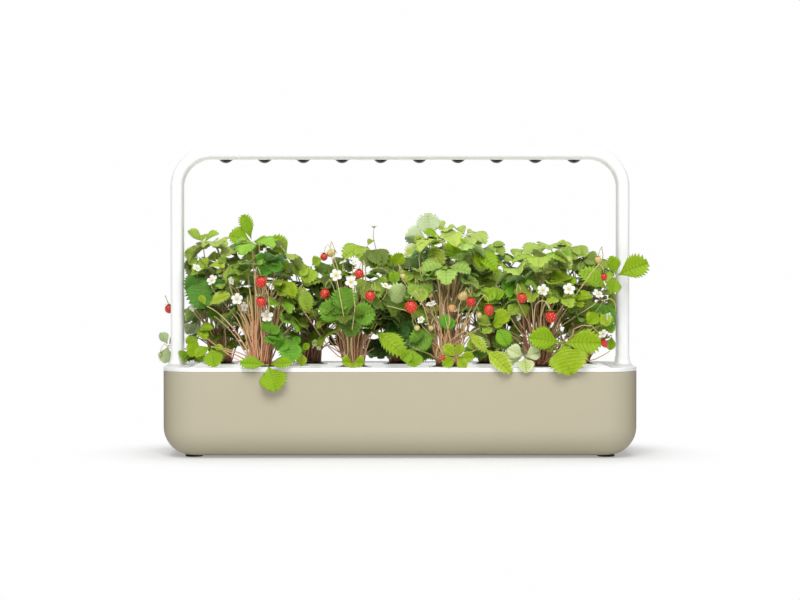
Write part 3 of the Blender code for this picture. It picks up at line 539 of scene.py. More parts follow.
def leaf_material(name, greens, vein_tint, roughness, relief):
    """A pleated leaf: green by tone, with painted shade in the low tones, turning to a pale green that is
    partly painted sheen, paler along its veins and yellower at its margin.
    """
    material, tree, shader = new_material(name, roughness, Specular_IOR_Level=0.22)
    veins = group_node(tree, "Leaf veins")
    shift = math_node(tree, "MULTIPLY", centred(tree, veins.outputs["Mottle"]), MOTTLE_SHIFT)
    edge = math_node(tree, "MULTIPLY", veins.outputs["Margin"], MARGIN_SHIFT)
    tone = math_node(tree, "ADD", math_node(tree, "ADD", attribute(tree, "tone"), shift), edge, clamp=True)
    # The pale share is partly a painted sheen on leaves near the top of the foliage
    pale = math_node(tree, "MULTIPLY", attribute(tree, "pale"), PALE_SHARE)
    green = mixed(tree, pale, ramp(tree, tone, greens), PALE_GREEN)
    cool = math_node(tree, "ADD", attribute(tree, "cool"), 0, clamp=True)
    green = mixed(tree, cool, green, mixed(tree, 1.0, green, COOL_SHARE, "MULTIPLY"))
    share = math_node(tree, "MULTIPLY", veins.outputs["Vein"], VEIN_SHARE)
    tree.links.new(mixed(tree, share, green, vein_tint), shader.inputs["Base Color"])
    add_bump(tree, shader, veins.outputs["Height"], strength=0.9, distance=relief)
    return material


@made_once("Leaf upper side")
def leaf_top(name):
    return leaf_material(name, LEAF_GREENS, vein_tint=(0.46, 0.58, 0.08), roughness=0.46, relief=0.0010)


@made_once("Leaf underside")
def leaf_under(name):
    return leaf_material(name, UNDERSIDE_GREENS, vein_tint=(0.66, 0.74, 0.42), roughness=0.6, relief=0.0006)


@made_once("Stalk skin")
def stalk_skin(name):
    """Stalks: red-brown at the crown and green at the leaf, with fine streaks along them."""
    material, tree, shader = new_material(name, roughness=0.5)
    streaks = noise(tree, scale=700, detail=3, place=object_place(tree))
    streak_shift = math_node(tree, "MULTIPLY", centred(tree, streaks), 0.5)
    flush = math_node(tree, "ADD", attribute(tree, "flush"), streak_shift, clamp=True)
    tint = mixed(tree, flush, colours().stalk_green, colours().stalk_red)
    shades = [(0, (0.14, 0.11, 0.10)), (0.5, (0.66, 0.66, 0.66)), (1, (1, 1, 1))]
    shade = ramp(tree, attribute(tree, "tone"), shades)
    tree.links.new(mixed(tree, 1.0, tint, shade, "MULTIPLY"), shader.inputs["Base Color"])
    add_bump(tree, shader, streaks, strength=0.4, distance=0.0002)
    return material


@made_once("Petal")
def petal_skin(name):
    material, tree, shader = new_material(name, roughness=0.55)
    veins = group_node(tree, "Leaf veins", Midrib_Width=0.1)
    share = math_node(tree, "MULTIPLY", veins.outputs["Mottle"], 0.25)
    tint = mixed(tree, share, colours().petal, scaled(colours().petal, 0.82))
    tree.links.new(tint, shader.inputs["Base Color"])
    add_bump(tree, shader, veins.outputs["Height"], strength=0.25, distance=0.0002)
    return material


@made_once("Berry skin")
def berry_skin(name):
    """Glossy dimpled flesh whose colour follows how ripe the berry is."""
    material, tree, shader = new_material(name, roughness=0.28, Subsurface_Weight=0.08)
    place = object_place(tree)
    cells = add_node(tree, "ShaderNodeTexVoronoi")
    set_inputs(cells, Scale=520)
    tree.links.new(place, cells.inputs["Vector"])
    blush = math_node(tree, "MULTIPLY", centred(tree, noise(tree, scale=260, detail=2, place=place)), 0.25)
    flesh = ramp(tree, math_node(tree, "ADD", attribute(tree, "ripe"), blush, clamp=True), RIPENING)
    pit = math_node(tree, "MULTIPLY", cells.outputs["Distance"], 0.5, clamp=True)
    tree.links.new(mixed(tree, pit, flesh, (0.95, 0.45, 0.30), "SOFT_LIGHT"), shader.inputs["Base Color"])
    add_bump(tree, shader, cells.outputs["Distance"], strength=0.8, distance=0.0005)
    return material


# Mesh helpers


def mesh_of(bm, name):
    """A new mesh from a bmesh, which is freed."""
    mesh = bpy.data.meshes.new(name)
    bm.to_mesh(mesh)
    bm.free()
    return mesh


def placed(name, data):
    """A new object in the scene."""
    item = bpy.data.objects.new(name, data)
    bpy.context.scene.collection.objects.link(item)
    return item


def finished(name, bm, body, materials, stands_for=(), even=False, sharp=SHARP):
    """Turn a bmesh into a piece that rides on a body and stands for its solids."""
    mesh = mesh_of(bm, name)
    for material in materials:
        mesh.materials.append(material)
    mesh.shade_smooth()
    mesh.set_sharp_from_angle(angle=sharp)
    piece = placed(name, mesh)
    if even:
        weighted = piece.modifiers.new("even_shading", "WEIGHTED_NORMAL")
        weighted.keep_sharp = True
        weighted.weight = FACE_WEIGHT
    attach(piece, body)
    if stands_for:
        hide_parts(*stands_for)
    return piece


def outward(bm):
    """Point the faces of closed shells out."""
    bmesh.ops.recalc_face_normals(bm, faces=bm.faces)
    if bm.calc_volume(signed=True) < 0:
        bmesh.ops.reverse_faces(bm, faces=bm.faces)


def rounded_face(bm, half_x, half_y, radius, steps, centre):
    """One flat face with round corners, from a square whose corners are bevelled."""
    corners = bmesh.ops.create_grid(bm, x_segments=1, y_segments=1, size=1)["verts"]
    for corner in corners:
        corner.co = Vector((corner.co.x * half_x, corner.co.y * half_y, 0)) + centre
    made = bmesh.ops.bevel(
        bm, geom=corners, offset=radius, offset_type="OFFSET", segments=steps, profile=0.5,
        affect="VERTICES", material=-1, clamp_overlap=False,
    )
    return next(face for vert in made["verts"] for face in vert.link_faces)


def extruded(bm, edges):
    """Extrude a loop of edges. Returns the new vertices and edges."""
    made = bmesh.ops.extrude_edge_only(bm, edges=edges)["geom"]
    verts = {item for item in made if isinstance(item, bmesh.types.BMVert)}
    loop = [
        item for item in made
        if isinstance(item, bmesh.types.BMEdge) and item.verts[0] in verts and item.verts[1] in verts
    ]
    return verts, loop


# A level of a rounded loft: half length, half width, corner radius and height
Level = namedtuple("Level", "half_x half_y radius z")


def add_rounded_loft(bm, levels, steps, centre=Vector((0, 0, 0)), closed=False):
    """Extrude a rounded outline through levels. Each corner's arc keeps its directions."""
    first = levels[0]
    face = rounded_face(
        bm, first.half_x, first.half_y, first.radius, steps, centre + Vector((0, 0, first.z))
    )
    loop = list(face.edges)
    start_loop = loop
    before = first
    for after in levels[1:]:
        verts, loop = extruded(bm, loop)
        for vert in verts:
            local = vert.co - centre
            middle = Vector((
                math.copysign(before.half_x - before.radius, local.x),
                math.copysign(before.half_y - before.radius, local.y),
            ))
            turn = (local.to_2d() - middle) / before.radius
            flat = Vector((
                math.copysign(after.half_x - after.radius, local.x),
                math.copysign(after.half_y - after.radius, local.y),
            )) + turn * after.radius
            vert.co = centre + Vector((flat.x, flat.y, after.z))
        before = after
    if closed:
        bmesh.ops.delete(bm, geom=[face], context="FACES_ONLY")
        bmesh.ops.bridge_loops(bm, edges=start_loop + loop)
    else:
        bmesh.ops.contextual_create(bm, geom=loop)


def arc(start_deg, end_deg, steps):
    """Cosine and sine at even steps of an arc, both ends included."""
    for step in range(steps + 1):
        angle = math.radians(start_deg + (end_deg - start_deg) * step / steps)
        yield math.cos(angle), math.sin(angle)


def add_turned(bm, profile, steps, centre):
    """Spin a profile of (radius, height) points, from axis to axis or as a closed loop, about an axis."""
    verts = [bm.verts.new(centre + Vector((radius, 0, height))) for radius, height in profile]
    edges = [bm.edges.new(pair) for pair in zip(verts, verts[1:])]
    if profile[0][0] > 0:
        edges.append(bm.edges.new((verts[-1], verts[0])))
    bmesh.ops.spin(
        bm, geom=verts + edges, cent=centre, axis=UP, angle=math.tau, steps=steps, use_merge=True
    )
    bmesh.ops.remove_doubles(bm, verts=bm.verts, dist=GAP / 100)


def cut(piece, cutter_bm):
    """Cut a closed cutter out of a piece, and leave the piece with its finished mesh."""
    outward(cutter_bm)
    cutter = placed("cutter", mesh_of(cutter_bm, "cutter"))
    modifier = piece.modifiers.new("cut", "BOOLEAN")
    modifier.operation = "DIFFERENCE"
    modifier.solver = "EXACT"
    modifier.object = cutter
    even = piece.modifiers.get("even_shading")
    if even:
        even.show_viewport = False
    graph = bpy.context.evaluated_depsgraph_get()
    result = bpy.data.meshes.new_from_object(piece.evaluated_get(graph))
    piece.modifiers.remove(modifier)
    piece.data = result
    result.set_sharp_from_angle(angle=SHARP)
    if even:
        even.show_viewport = True
    bpy.data.objects.remove(cutter)


# Moulded pieces


def tub_level(inset, z):
    """A section of the tank's outline, drawn in by an inset."""
    return Level(HALF_LENGTH - inset, HALF_DEPTH - inset, sizes().tank_corner - inset, z)


class GARDEN_OT_tank(bpy.types.Operator):
    """Makes the clay-coloured water tank and its rubber feet"""

    bl_idname = "garden.tank"
    bl_label = "Tank and Feet"

    corner_steps = 20
    fillet_steps = 14
    lip_radius = 0.0008
    foot_edge = 0.0006
    edge_steps = 4
    foot_steps = 48

    def execute(self, context):
        fillet, wall = sizes().tank_fillet, sizes().tank_wall
        low, top, lip = TANK_LOW.z, TANK_HIGH.z, self.lip_radius
        steps, inner = self.edge_steps, fillet - wall
        levels = [
            tub_level(fillet * (1 - s), low + fillet * (1 - c)) for c, s in arc(0, 90, self.fillet_steps)
        ]
        levels += [tub_level(lip * (1 - c), top - lip * (1 - s)) for c, s in arc(0, 90, steps)]
        levels += [tub_level(wall - lip * (1 - c), top - lip * (1 - s)) for c, s in arc(90, 0, steps)]
        levels += [
            tub_level(wall + inner * (1 - s), low + wall + inner * (1 - c))
            for c, s in arc(90, 0, self.fillet_steps)
        ]
        bm = bmesh.new()
        add_rounded_loft(bm, levels, self.corner_steps)
        outward(bm)
        finished("tank_shell", bm, "tank", [clay_plastic()], ["water_tank"], even=True)
        for node in ("foot_front_left", "foot_front_right", "foot_back_left", "foot_back_right"):
            self.make_foot(node)
        return {"FINISHED"}

    def make_foot(self, node):
        low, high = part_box(node)
        radius, height, edge = (high.x - low.x) / 2, high.z - low.z, self.foot_edge
        profile = [(0, 0)]
        profile += [(radius - edge * (1 - c), edge * (1 + s)) for c, s in arc(-90, 0, self.edge_steps)]
        profile += [(radius, height), (0, height)]
        bm = bmesh.new()
        add_turned(bm, profile, self.foot_steps, middle_of(node))
        outward(bm)
        finished(f"rubber_{node}", bm, "tank", [foot_rubber()], [node])


class GARDEN_OT_tray(bpy.types.Operator):
    """Makes the white planting tray with its sunken glossy deck and its holes"""

    bl_idname = "garden.tray"
    bl_label = "Planting Tray"

    skirt_clearance = 0.0006
    skirt_thickness = 0.002
    corner_steps = 20
    deck_edge = 0.0007
    edge_steps = 4
    hole_steps = 40
    cup_hole_steps = 10
    spigot_hole_steps = 5
    # The most that a spigot hole takes of the spigot's box, and its corner radius
    spigot_hole_half = (0.0045, 0.010)
    spigot_hole_corner = 0.0028
    guide_flange = 0.0025
    # How straight up a face of the deck looks
    level_share = 0.99

    def deck_level(self, inset, z):
        half_y = HALF_DEPTH - sizes().tray_rim
        return Level(sizes().deck_half_length - inset, half_y - inset, sizes().deck_corner - inset, z)

    def execute(self, context):
        edge, top = sizes().tray_edge, TRAY_HIGH.z
        under = top - sizes().tray_rim_height
        deck_z = under + sizes().tray_plate
        outer = sizes().tank_wall + self.skirt_clearance
        inner = outer + self.skirt_thickness
        small = self.deck_edge
        levels = [
            tub_level(inner, under),
            tub_level(inner, TRAY_LOW.z),
            tub_level(outer, TRAY_LOW.z),
            tub_level(outer, under),
            tub_level(0, under),
        ]
        steps = self.edge_steps
        levels += [tub_level(edge * (1 - c), top - edge * (1 - s)) for c, s in arc(0, 90, steps + 1)]
        levels += [self.deck_level(small * (s - 1), top - small * (1 - c)) for c, s in arc(0, 90, steps)]
        levels += [self.deck_level(small * (1 - c), deck_z + small * (1 - s)) for c, s in arc(0, 90, steps)]
        bm = bmesh.new()
        add_rounded_loft(bm, levels, self.corner_steps)
        outward(bm)
        materials = [white_plastic(), deck_plastic()]
        tray = finished("tray_shell", bm, "deck", materials, ["planting_tray"], even=True)
        cut(tray, self.holes(under))
        for polygon in tray.data.polygons:
            flat = polygon.normal.z > self.level_share and abs(polygon.center.z - deck_z) < small / 2
            polygon.material_index = 1 if flat else 0
        return {"FINISHED"}

    def holes(self, under):
        low, high = under - OVERRUN, TRAY_HIGH.z + OVERRUN
        bm = bmesh.new()
        flange, corner = sizes().cup_flange, sizes().cup_corner
        half_x = (CUP_HIGH.x - CUP_LOW.x) / 2 - flange + GAP
        half_y = (CUP_HIGH.y - CUP_LOW.y) / 2 - flange + GAP
        for place in POD_PLACES.values():
            levels = [Level(half_x, half_y, corner + GAP, z) for z in (low, high)]
            add_rounded_loft(bm, levels, self.cup_hole_steps, Vector((place.x, place.y, 0)))
        spigot = (SPIGOT_HIGH - SPIGOT_LOW) / 2
        most_x, most_y = self.spigot_hole_half
        half_x, half_y = min(spigot.x, most_x) + GAP, min(spigot.y, most_y) + GAP
        for x in (-LEG_X, LEG_X):
            levels = [Level(half_x, half_y, self.spigot_hole_corner, z) for z in (low, high)]
            add_rounded_loft(bm, levels, self.spigot_hole_steps, Vector((x, 0, 0)))
        guide = middle_of("float_guide")
        radius = (GUIDE_HIGH.x - GUIDE_LOW.x) / 2 - self.guide_flange + GAP
        profile = [(0, low), (radius, low), (radius, high), (0, high)]
        add_turned(bm, profile, self.hole_steps, Vector((guide.x, guide.y, 0)))
        return bm


class GARDEN_OT_arch(bpy.types.Operator):
    """Makes the white lamp arch and the flared collars round its legs"""

    bl_idname = "garden.arch"
    bl_label = "Lamp Arch and Collars"

    corner_steps = 7
    bend_steps = 30
    collar_lip = 0.0008
    collar_top = 0.0006
    flare_steps = 12
    collar_steps = 8

    def execute(self, context):
        half_x, half_y = sizes().leg_width / 2, ARCH_HIGH.y
        bend = sizes().bend_radius
        foot, rise = ARCH_LOW.z, ARCH_HIGH.z - bend
        bm = bmesh.new()
        start = Vector((-LEG_X, 0, foot))
        face = rounded_face(bm, half_x, half_y, sizes().leg_corner, self.corner_steps, start)
        verts, loop = extruded(bm, list(face.edges))
        bmesh.ops.translate(bm, verts=list(verts), vec=UP * (rise - foot))
        middle_x = LEG_X + half_x - bend
        loop = self.bent(bm, loop, Vector((-middle_x, 0, rise)))
        verts, loop = extruded(bm, loop)
        bmesh.ops.translate(bm, verts=list(verts), vec=Vector((2 * middle_x, 0, 0)))
        loop = self.bent(bm, loop, Vector((middle_x, 0, rise)))
        verts, loop = extruded(bm, loop)
        bmesh.ops.translate(bm, verts=list(verts), vec=UP * (foot - rise))
        bmesh.ops.contextual_create(bm, geom=loop)
        outward(bm)
        arch = finished(
            "arch_bar", bm, "lamp", [white_plastic()], ["lamp_arch"], even=True
        )
        window = bmesh.new()
        bmesh.ops.create_cube(window, size=1)
        size = INLET_HIGH - INLET_LOW + Vector((2 * GAP, 2 * GAP, 2 * GAP))
        place = Matrix.Translation((INLET_HIGH + INLET_LOW) / 2)
        bmesh.ops.transform(window, matrix=place @ Matrix.Diagonal((*size, 1)), verts=window.verts)
        cut(arch, window)
        for side, x in (("left", -LEG_X), ("right", LEG_X)):
            self.make_collar(side, x)
        return {"FINISHED"}

    def bent(self, bm, loop, middle):
        """Spin a section a quarter turn clockwise, seen from the front. Returns its new edges."""
        for step in range(self.bend_steps):
            verts, loop = extruded(bm, loop)
            turn = Matrix.Rotation(math.radians(90) / self.bend_steps, 3, "Y")
            bmesh.ops.rotate(bm, verts=list(verts), cent=middle, matrix=turn)
        return loop

    def make_collar(self, side, x):
        low, high = COLLAR_LOW.z, COLLAR_HIGH.z
        flare = (COLLAR_HIGH.x - COLLAR_LOW.x - sizes().leg_width) / 2
        half_x, half_y, corner = sizes().leg_width / 2, ARCH_HIGH.y, sizes().leg_corner
        lip, spread, climb = self.collar_lip, flare - self.collar_top, high - low - self.collar_lip
        grows = [(GAP / 2, low), (flare, low)]
        grows += [
            (self.collar_top + spread * (1 - s), low + lip + climb * (1 - c))
            for c, s in arc(0, 90, self.flare_steps)
        ]
        grows += [(GAP / 2, high)]
        levels = [Level(half_x + grow, half_y + grow, corner + grow, z) for grow, z in grows]
        bm = bmesh.new()
        add_rounded_loft(bm, levels, self.collar_steps, Vector((x, 0, 0)))
        outward(bm)
        node = f"leg_collar_{side}"
        finished(f"collar_{side}", bm, "lamp", [white_plastic()], [node], even=True)


class GARDEN_OT_lights(bpy.types.Operator):
    """Makes the light cover with its rims and the smoked lenses"""

    bl_idname = "garden.lights"
    bl_label = "Light Cover and Lenses"

    cover_lip = 0.0009
    cover_corner = 0.002
    cover_steps = 6
    proud = 0.0002
    rim_wall = 0.0008
    rim_steps = 6
    cap_steps = 9
    turn_steps = 40

    def execute(self, context):
        under = ARCH_HIGH.z - sizes().leg_width
        half_x, half_y = COVER_HIGH.x - self.cover_lip, COVER_HIGH.y - self.cover_lip
        corner = self.cover_corner
        bm = bmesh.new()
        levels = [
            Level(half_x - inset, half_y - inset, corner - inset, z)
            for inset, z in ((self.proud, under - self.proud), (0, under), (0, COVER_HIGH.z))
        ]
        add_rounded_loft(bm, levels, self.cover_steps)
        rim_low, wall = COVER_LOW.z, self.rim_wall
        inner = sizes().lens_radius + GAP
        outer = inner + wall
        for x in LENS_X:
            profile = [(inner, under), (inner, rim_low + wall / 2)]
            profile += [
                (inner + wall / 2 + wall / 2 * s, rim_low + wall / 2 * (1 - c))
                for c, s in arc(-90, 90, self.rim_steps)
            ]
            profile += [(outer, under - wall / 2), (outer + wall, under)]
            add_turned(bm, profile, self.turn_steps, Vector((x, 0, 0)))
        outward(bm)
        finished("cover_strip", bm, "lamp", [white_plastic()], ["light_cover"], even=True)
        for number, x in zip(LENSES, LENS_X):
            self.make_lens(number, x)
        return {"FINISHED"}

    def make_lens(self, number, x):
        radius, depth = sizes().lens_radius, sizes().lens_depth
        ball = (radius ** 2 + depth ** 2) / (2 * depth)
        reach = math.degrees(math.asin(radius / ball))
        profile = [(ball * s, LENS_LOW.z + ball * (1 - c)) for c, s in arc(0, reach, self.cap_steps)]
        profile += [(radius, LENS_HIGH.z), (0, LENS_HIGH.z)]
        bm = bmesh.new()
        add_turned(bm, profile, self.turn_steps, Vector((x, 0, 0)))
        outward(bm)
        node = f"lens_{number:02d}"
        finished(f"smoked_{node}", bm, "lamp", [smoked_plastic()], [node])


class GARDEN_OT_float(bpy.types.Operator):
    """Makes the float's peg with its faceted knob, and the guide ring in the deck"""

    bl_idname = "garden.float"
    bl_label = "Float Peg and Guide"

    peg_radius = 0.0016
    peg_steps = 16
    knob_height = 0.0077
    knob_facets = 8
    guide_wall = 0.002
    guide_flange = 0.0025
    flange_thickness = 0.0012
    sleeve_radius = 0.0045
    spokes = 3
    spoke = 0.002
    spoke_height = 0.004
    spoke_overlap = 0.00045
    ring_steps = 56
    sleeve_steps = 32
    # The knob's shape, as shares of the peg's radius, the knob's height and the knob's radius
    neck_share = 1.2
    girdle_low_share = 0.45
    girdle_high_share = 0.6
    crown_share = 0.68

    def execute(self, context):
        self.make_peg()
        self.make_guide()
        return {"FINISHED"}

    def make_peg(self):
        centre = middle_of("float_stem")
        centre.z = 0
        knob_r = (STEM_HIGH.x - STEM_LOW.x) / 2
        knob_z = STEM_HIGH.z - self.knob_height
        bm = bmesh.new()
        peg = [(0, STEM_LOW.z), (self.peg_radius, STEM_LOW.z), (self.peg_radius, knob_z), (0, knob_z)]
        add_turned(bm, peg, self.peg_steps, centre)
        knob = [
            (0, knob_z),
            (self.peg_radius * self.neck_share, knob_z),
            (knob_r, knob_z + self.knob_height * self.girdle_low_share),
            (knob_r, knob_z + self.knob_height * self.girdle_high_share),
            (knob_r * self.crown_share, STEM_HIGH.z),
            (0, STEM_HIGH.z),
        ]
        add_turned(bm, knob, self.knob_facets, centre)
        outward(bm)
        finished(
            "float_peg", bm, "float", [white_plastic()], ["float_stem"], sharp=FACET_SHARP
        )

    def make_guide(self):
        centre = middle_of("float_guide")
        centre.z = 0
        flange_r = (GUIDE_HIGH.x - GUIDE_LOW.x) / 2
        outer = flange_r - self.guide_flange
        inner = outer - self.guide_wall
        top, low = GUIDE_HIGH.z, GUIDE_LOW.z
        flange_z = top - self.flange_thickness
        edge = self.flange_thickness / 3
        bm = bmesh.new()
        ring = [(inner, low), (outer, low), (outer, flange_z), (flange_r, flange_z), (flange_r, top - edge)]
        ring += [(flange_r - edge, top), (inner + edge, top), (inner, top - edge)]
        add_turned(bm, ring, self.ring_steps, centre)
        bore = self.peg_radius + GAP
        sleeve = [(bore, low), (self.sleeve_radius, low), (self.sleeve_radius, top), (bore, top)]
        add_turned(bm, sleeve, self.sleeve_steps, centre)
        for spoke in range(self.spokes):
            turn = math.radians(90) + math.tau * spoke / self.spokes
            made = bmesh.ops.create_cube(bm, size=1)["verts"]
            near, far = self.sleeve_radius - self.spoke_overlap, inner + self.guide_wall / 2
            height = low + self.guide_wall / 2 + self.spoke_height / 2
            middle = Vector(((near + far) / 2, 0, height))
            place = Matrix.Translation(centre) @ Matrix.Rotation(turn, 4, "Z") @ Matrix.Translation(middle)
            shape = Matrix.Diagonal((far - near, self.spoke, self.spoke_height, 1))
            bmesh.ops.transform(bm, matrix=place @ shape, verts=made)
        bmesh.ops.recalc_face_normals(bm, faces=bm.faces)
        finished("guide_ring", bm, "deck", [white_plastic()], ["float_guide"])


class GARDEN_OT_cups(bpy.types.Operator):
    """Makes the nine cups and the peat plugs in them"""

    bl_idname = "garden.cups"
    bl_label = "Cups and Plugs"

    taper = 0.004
    flange_thickness = 0.0012
    root_hole = 0.005
    corner_steps = 9
    least_corner = 0.0015
    plug_steps = 5
    # The plug's rings, each with its inset and its height, and how far its crumbs fall and rise
    plug_rings = (
        (0, PLUG_LOW.z),
        (0, CUP_HIGH.z - 0.001),
        (0.002, CUP_HIGH.z + 0.0006),
        (0.006, PLUG_HIGH.z - 0.0004),
        (0.011, PLUG_HIGH.z - 0.0002),
    )
    crumbs = (-0.0007, 0.0002)

    def execute(self, context):
        for number in PLANTS:
            self.make_cup(number)
            self.make_plug(number)
        return {"FINISHED"}

    def cup_level(self, inset, z):
        """A tapered section of a cup at a height, drawn in by an inset."""
        flange, corner = sizes().cup_flange, sizes().cup_corner
        flange_z = CUP_HIGH.z - self.flange_thickness
        fall = (flange_z - min(z, flange_z)) / (flange_z - CUP_LOW.z)
        inset = inset + self.taper * fall
        half_x = (CUP_HIGH.x - CUP_LOW.x) / 2 - flange - inset
        half_y = (CUP_HIGH.y - CUP_LOW.y) / 2 - flange - inset
        return Level(half_x, half_y, max(corner - inset, self.least_corner), z)

    def make_cup(self, number):
        wall, flange = sizes().cup_wall, sizes().cup_flange
        top, flange_z = CUP_HIGH.z, CUP_HIGH.z - self.flange_thickness
        edge = self.flange_thickness / 3
        floor = CUP_LOW.z + wall
        levels = [
            self.cup_level(wall + self.root_hole, CUP_LOW.z),
            self.cup_level(0, CUP_LOW.z),
            self.cup_level(0, flange_z),
            self.cup_level(-flange, flange_z),
            self.cup_level(-flange, top - edge),
            self.cup_level(-flange + edge, top),
            self.cup_level(wall - edge, top),
            self.cup_level(wall, top - edge),
            self.cup_level(wall, floor),
            self.cup_level(wall + self.root_hole, floor),
        ]
        place = POD_PLACES[number]
        bm = bmesh.new()
        add_rounded_loft(bm, levels, self.corner_steps, Vector((place.x, place.y, 0)))
        outward(bm)
        node = f"cup_{number}"
        finished(f"pod_{node}", bm, f"pod_{number}", [white_plastic()], [node])

    def make_plug(self, number):
        """A peat plug whose top is crumbled by moving its points up and down."""
        draw = random.Random(100 + number)
        inset = sizes().cup_wall + GAP
        levels = [self.cup_level(inset + ring, z) for ring, z in self.plug_rings]
        place = POD_PLACES[number]
        bm = bmesh.new()
        add_rounded_loft(bm, levels, self.plug_steps, Vector((place.x, place.y, 0)))
        for vert in bm.verts:
            if vert.co.z > CUP_HIGH.z:
                vert.co.z += draw.uniform(*self.crumbs)
        outward(bm)
        node = f"grow_plug_{number}"
        finished(f"peat_{node}", bm, f"pod_{number}", [peat()], [node], sharp=SOFT_SHARP)


class GARDEN_OT_inner_parts(bpy.types.Operator):
    """Gives the solids that stay as they are their finishes"""

    bl_idname = "garden.inner_parts"
    bl_label = "Inner Parts"

    def execute(self, context):
        white = ("leg_socket_left", "leg_socket_right", "leg_spigot_left", "leg_spigot_right", "float_bulb")
        self.dress(white, white_plastic())
        self.dress(("led_board", "timer_board"), board_lacquer())
        self.dress(("dc_inlet", "lamp_wire"), sheath_plastic())
        return {"FINISHED"}

    @staticmethod
    def dress(names, material):
        for name in names:
            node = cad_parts[name]
            if not node.material_slots:
                node.data.materials.append(material)
            for slot in node.material_slots:
                slot.material = material


# Plants. Each key leaf, berry and flower is placed by the pixel of the photograph where it shows and by
# its distance in front of or behind the tank's middle line, and hangs on a stalk from the nearest crown.


def seen(across, down, depth):
    """The point that shows at a pixel of the photograph, at a distance behind the middle line."""
    share = (CAMERA_BACK + depth) / FOCAL_PX
    x = (across - MIDDLE_PX[0]) * share
    z = CAMERA_HEIGHT - (down - HORIZON_PX) * share
    return Vector((x, depth, z))


# A leaf: the pixel and depth of its middle, the angle its upper side faces (0 the viewer, 90 up, 180
# away), its tone, which is partly painted shade, its leaflets' tips as (across, down, how much nearer and,
# where it isn't the leaf's own, the width to length), the leaflets' width to length and how cool its green
# is
Leaf = namedtuple("Leaf", "across down depth face tone tips width cool", defaults=(0.8, 0.12))

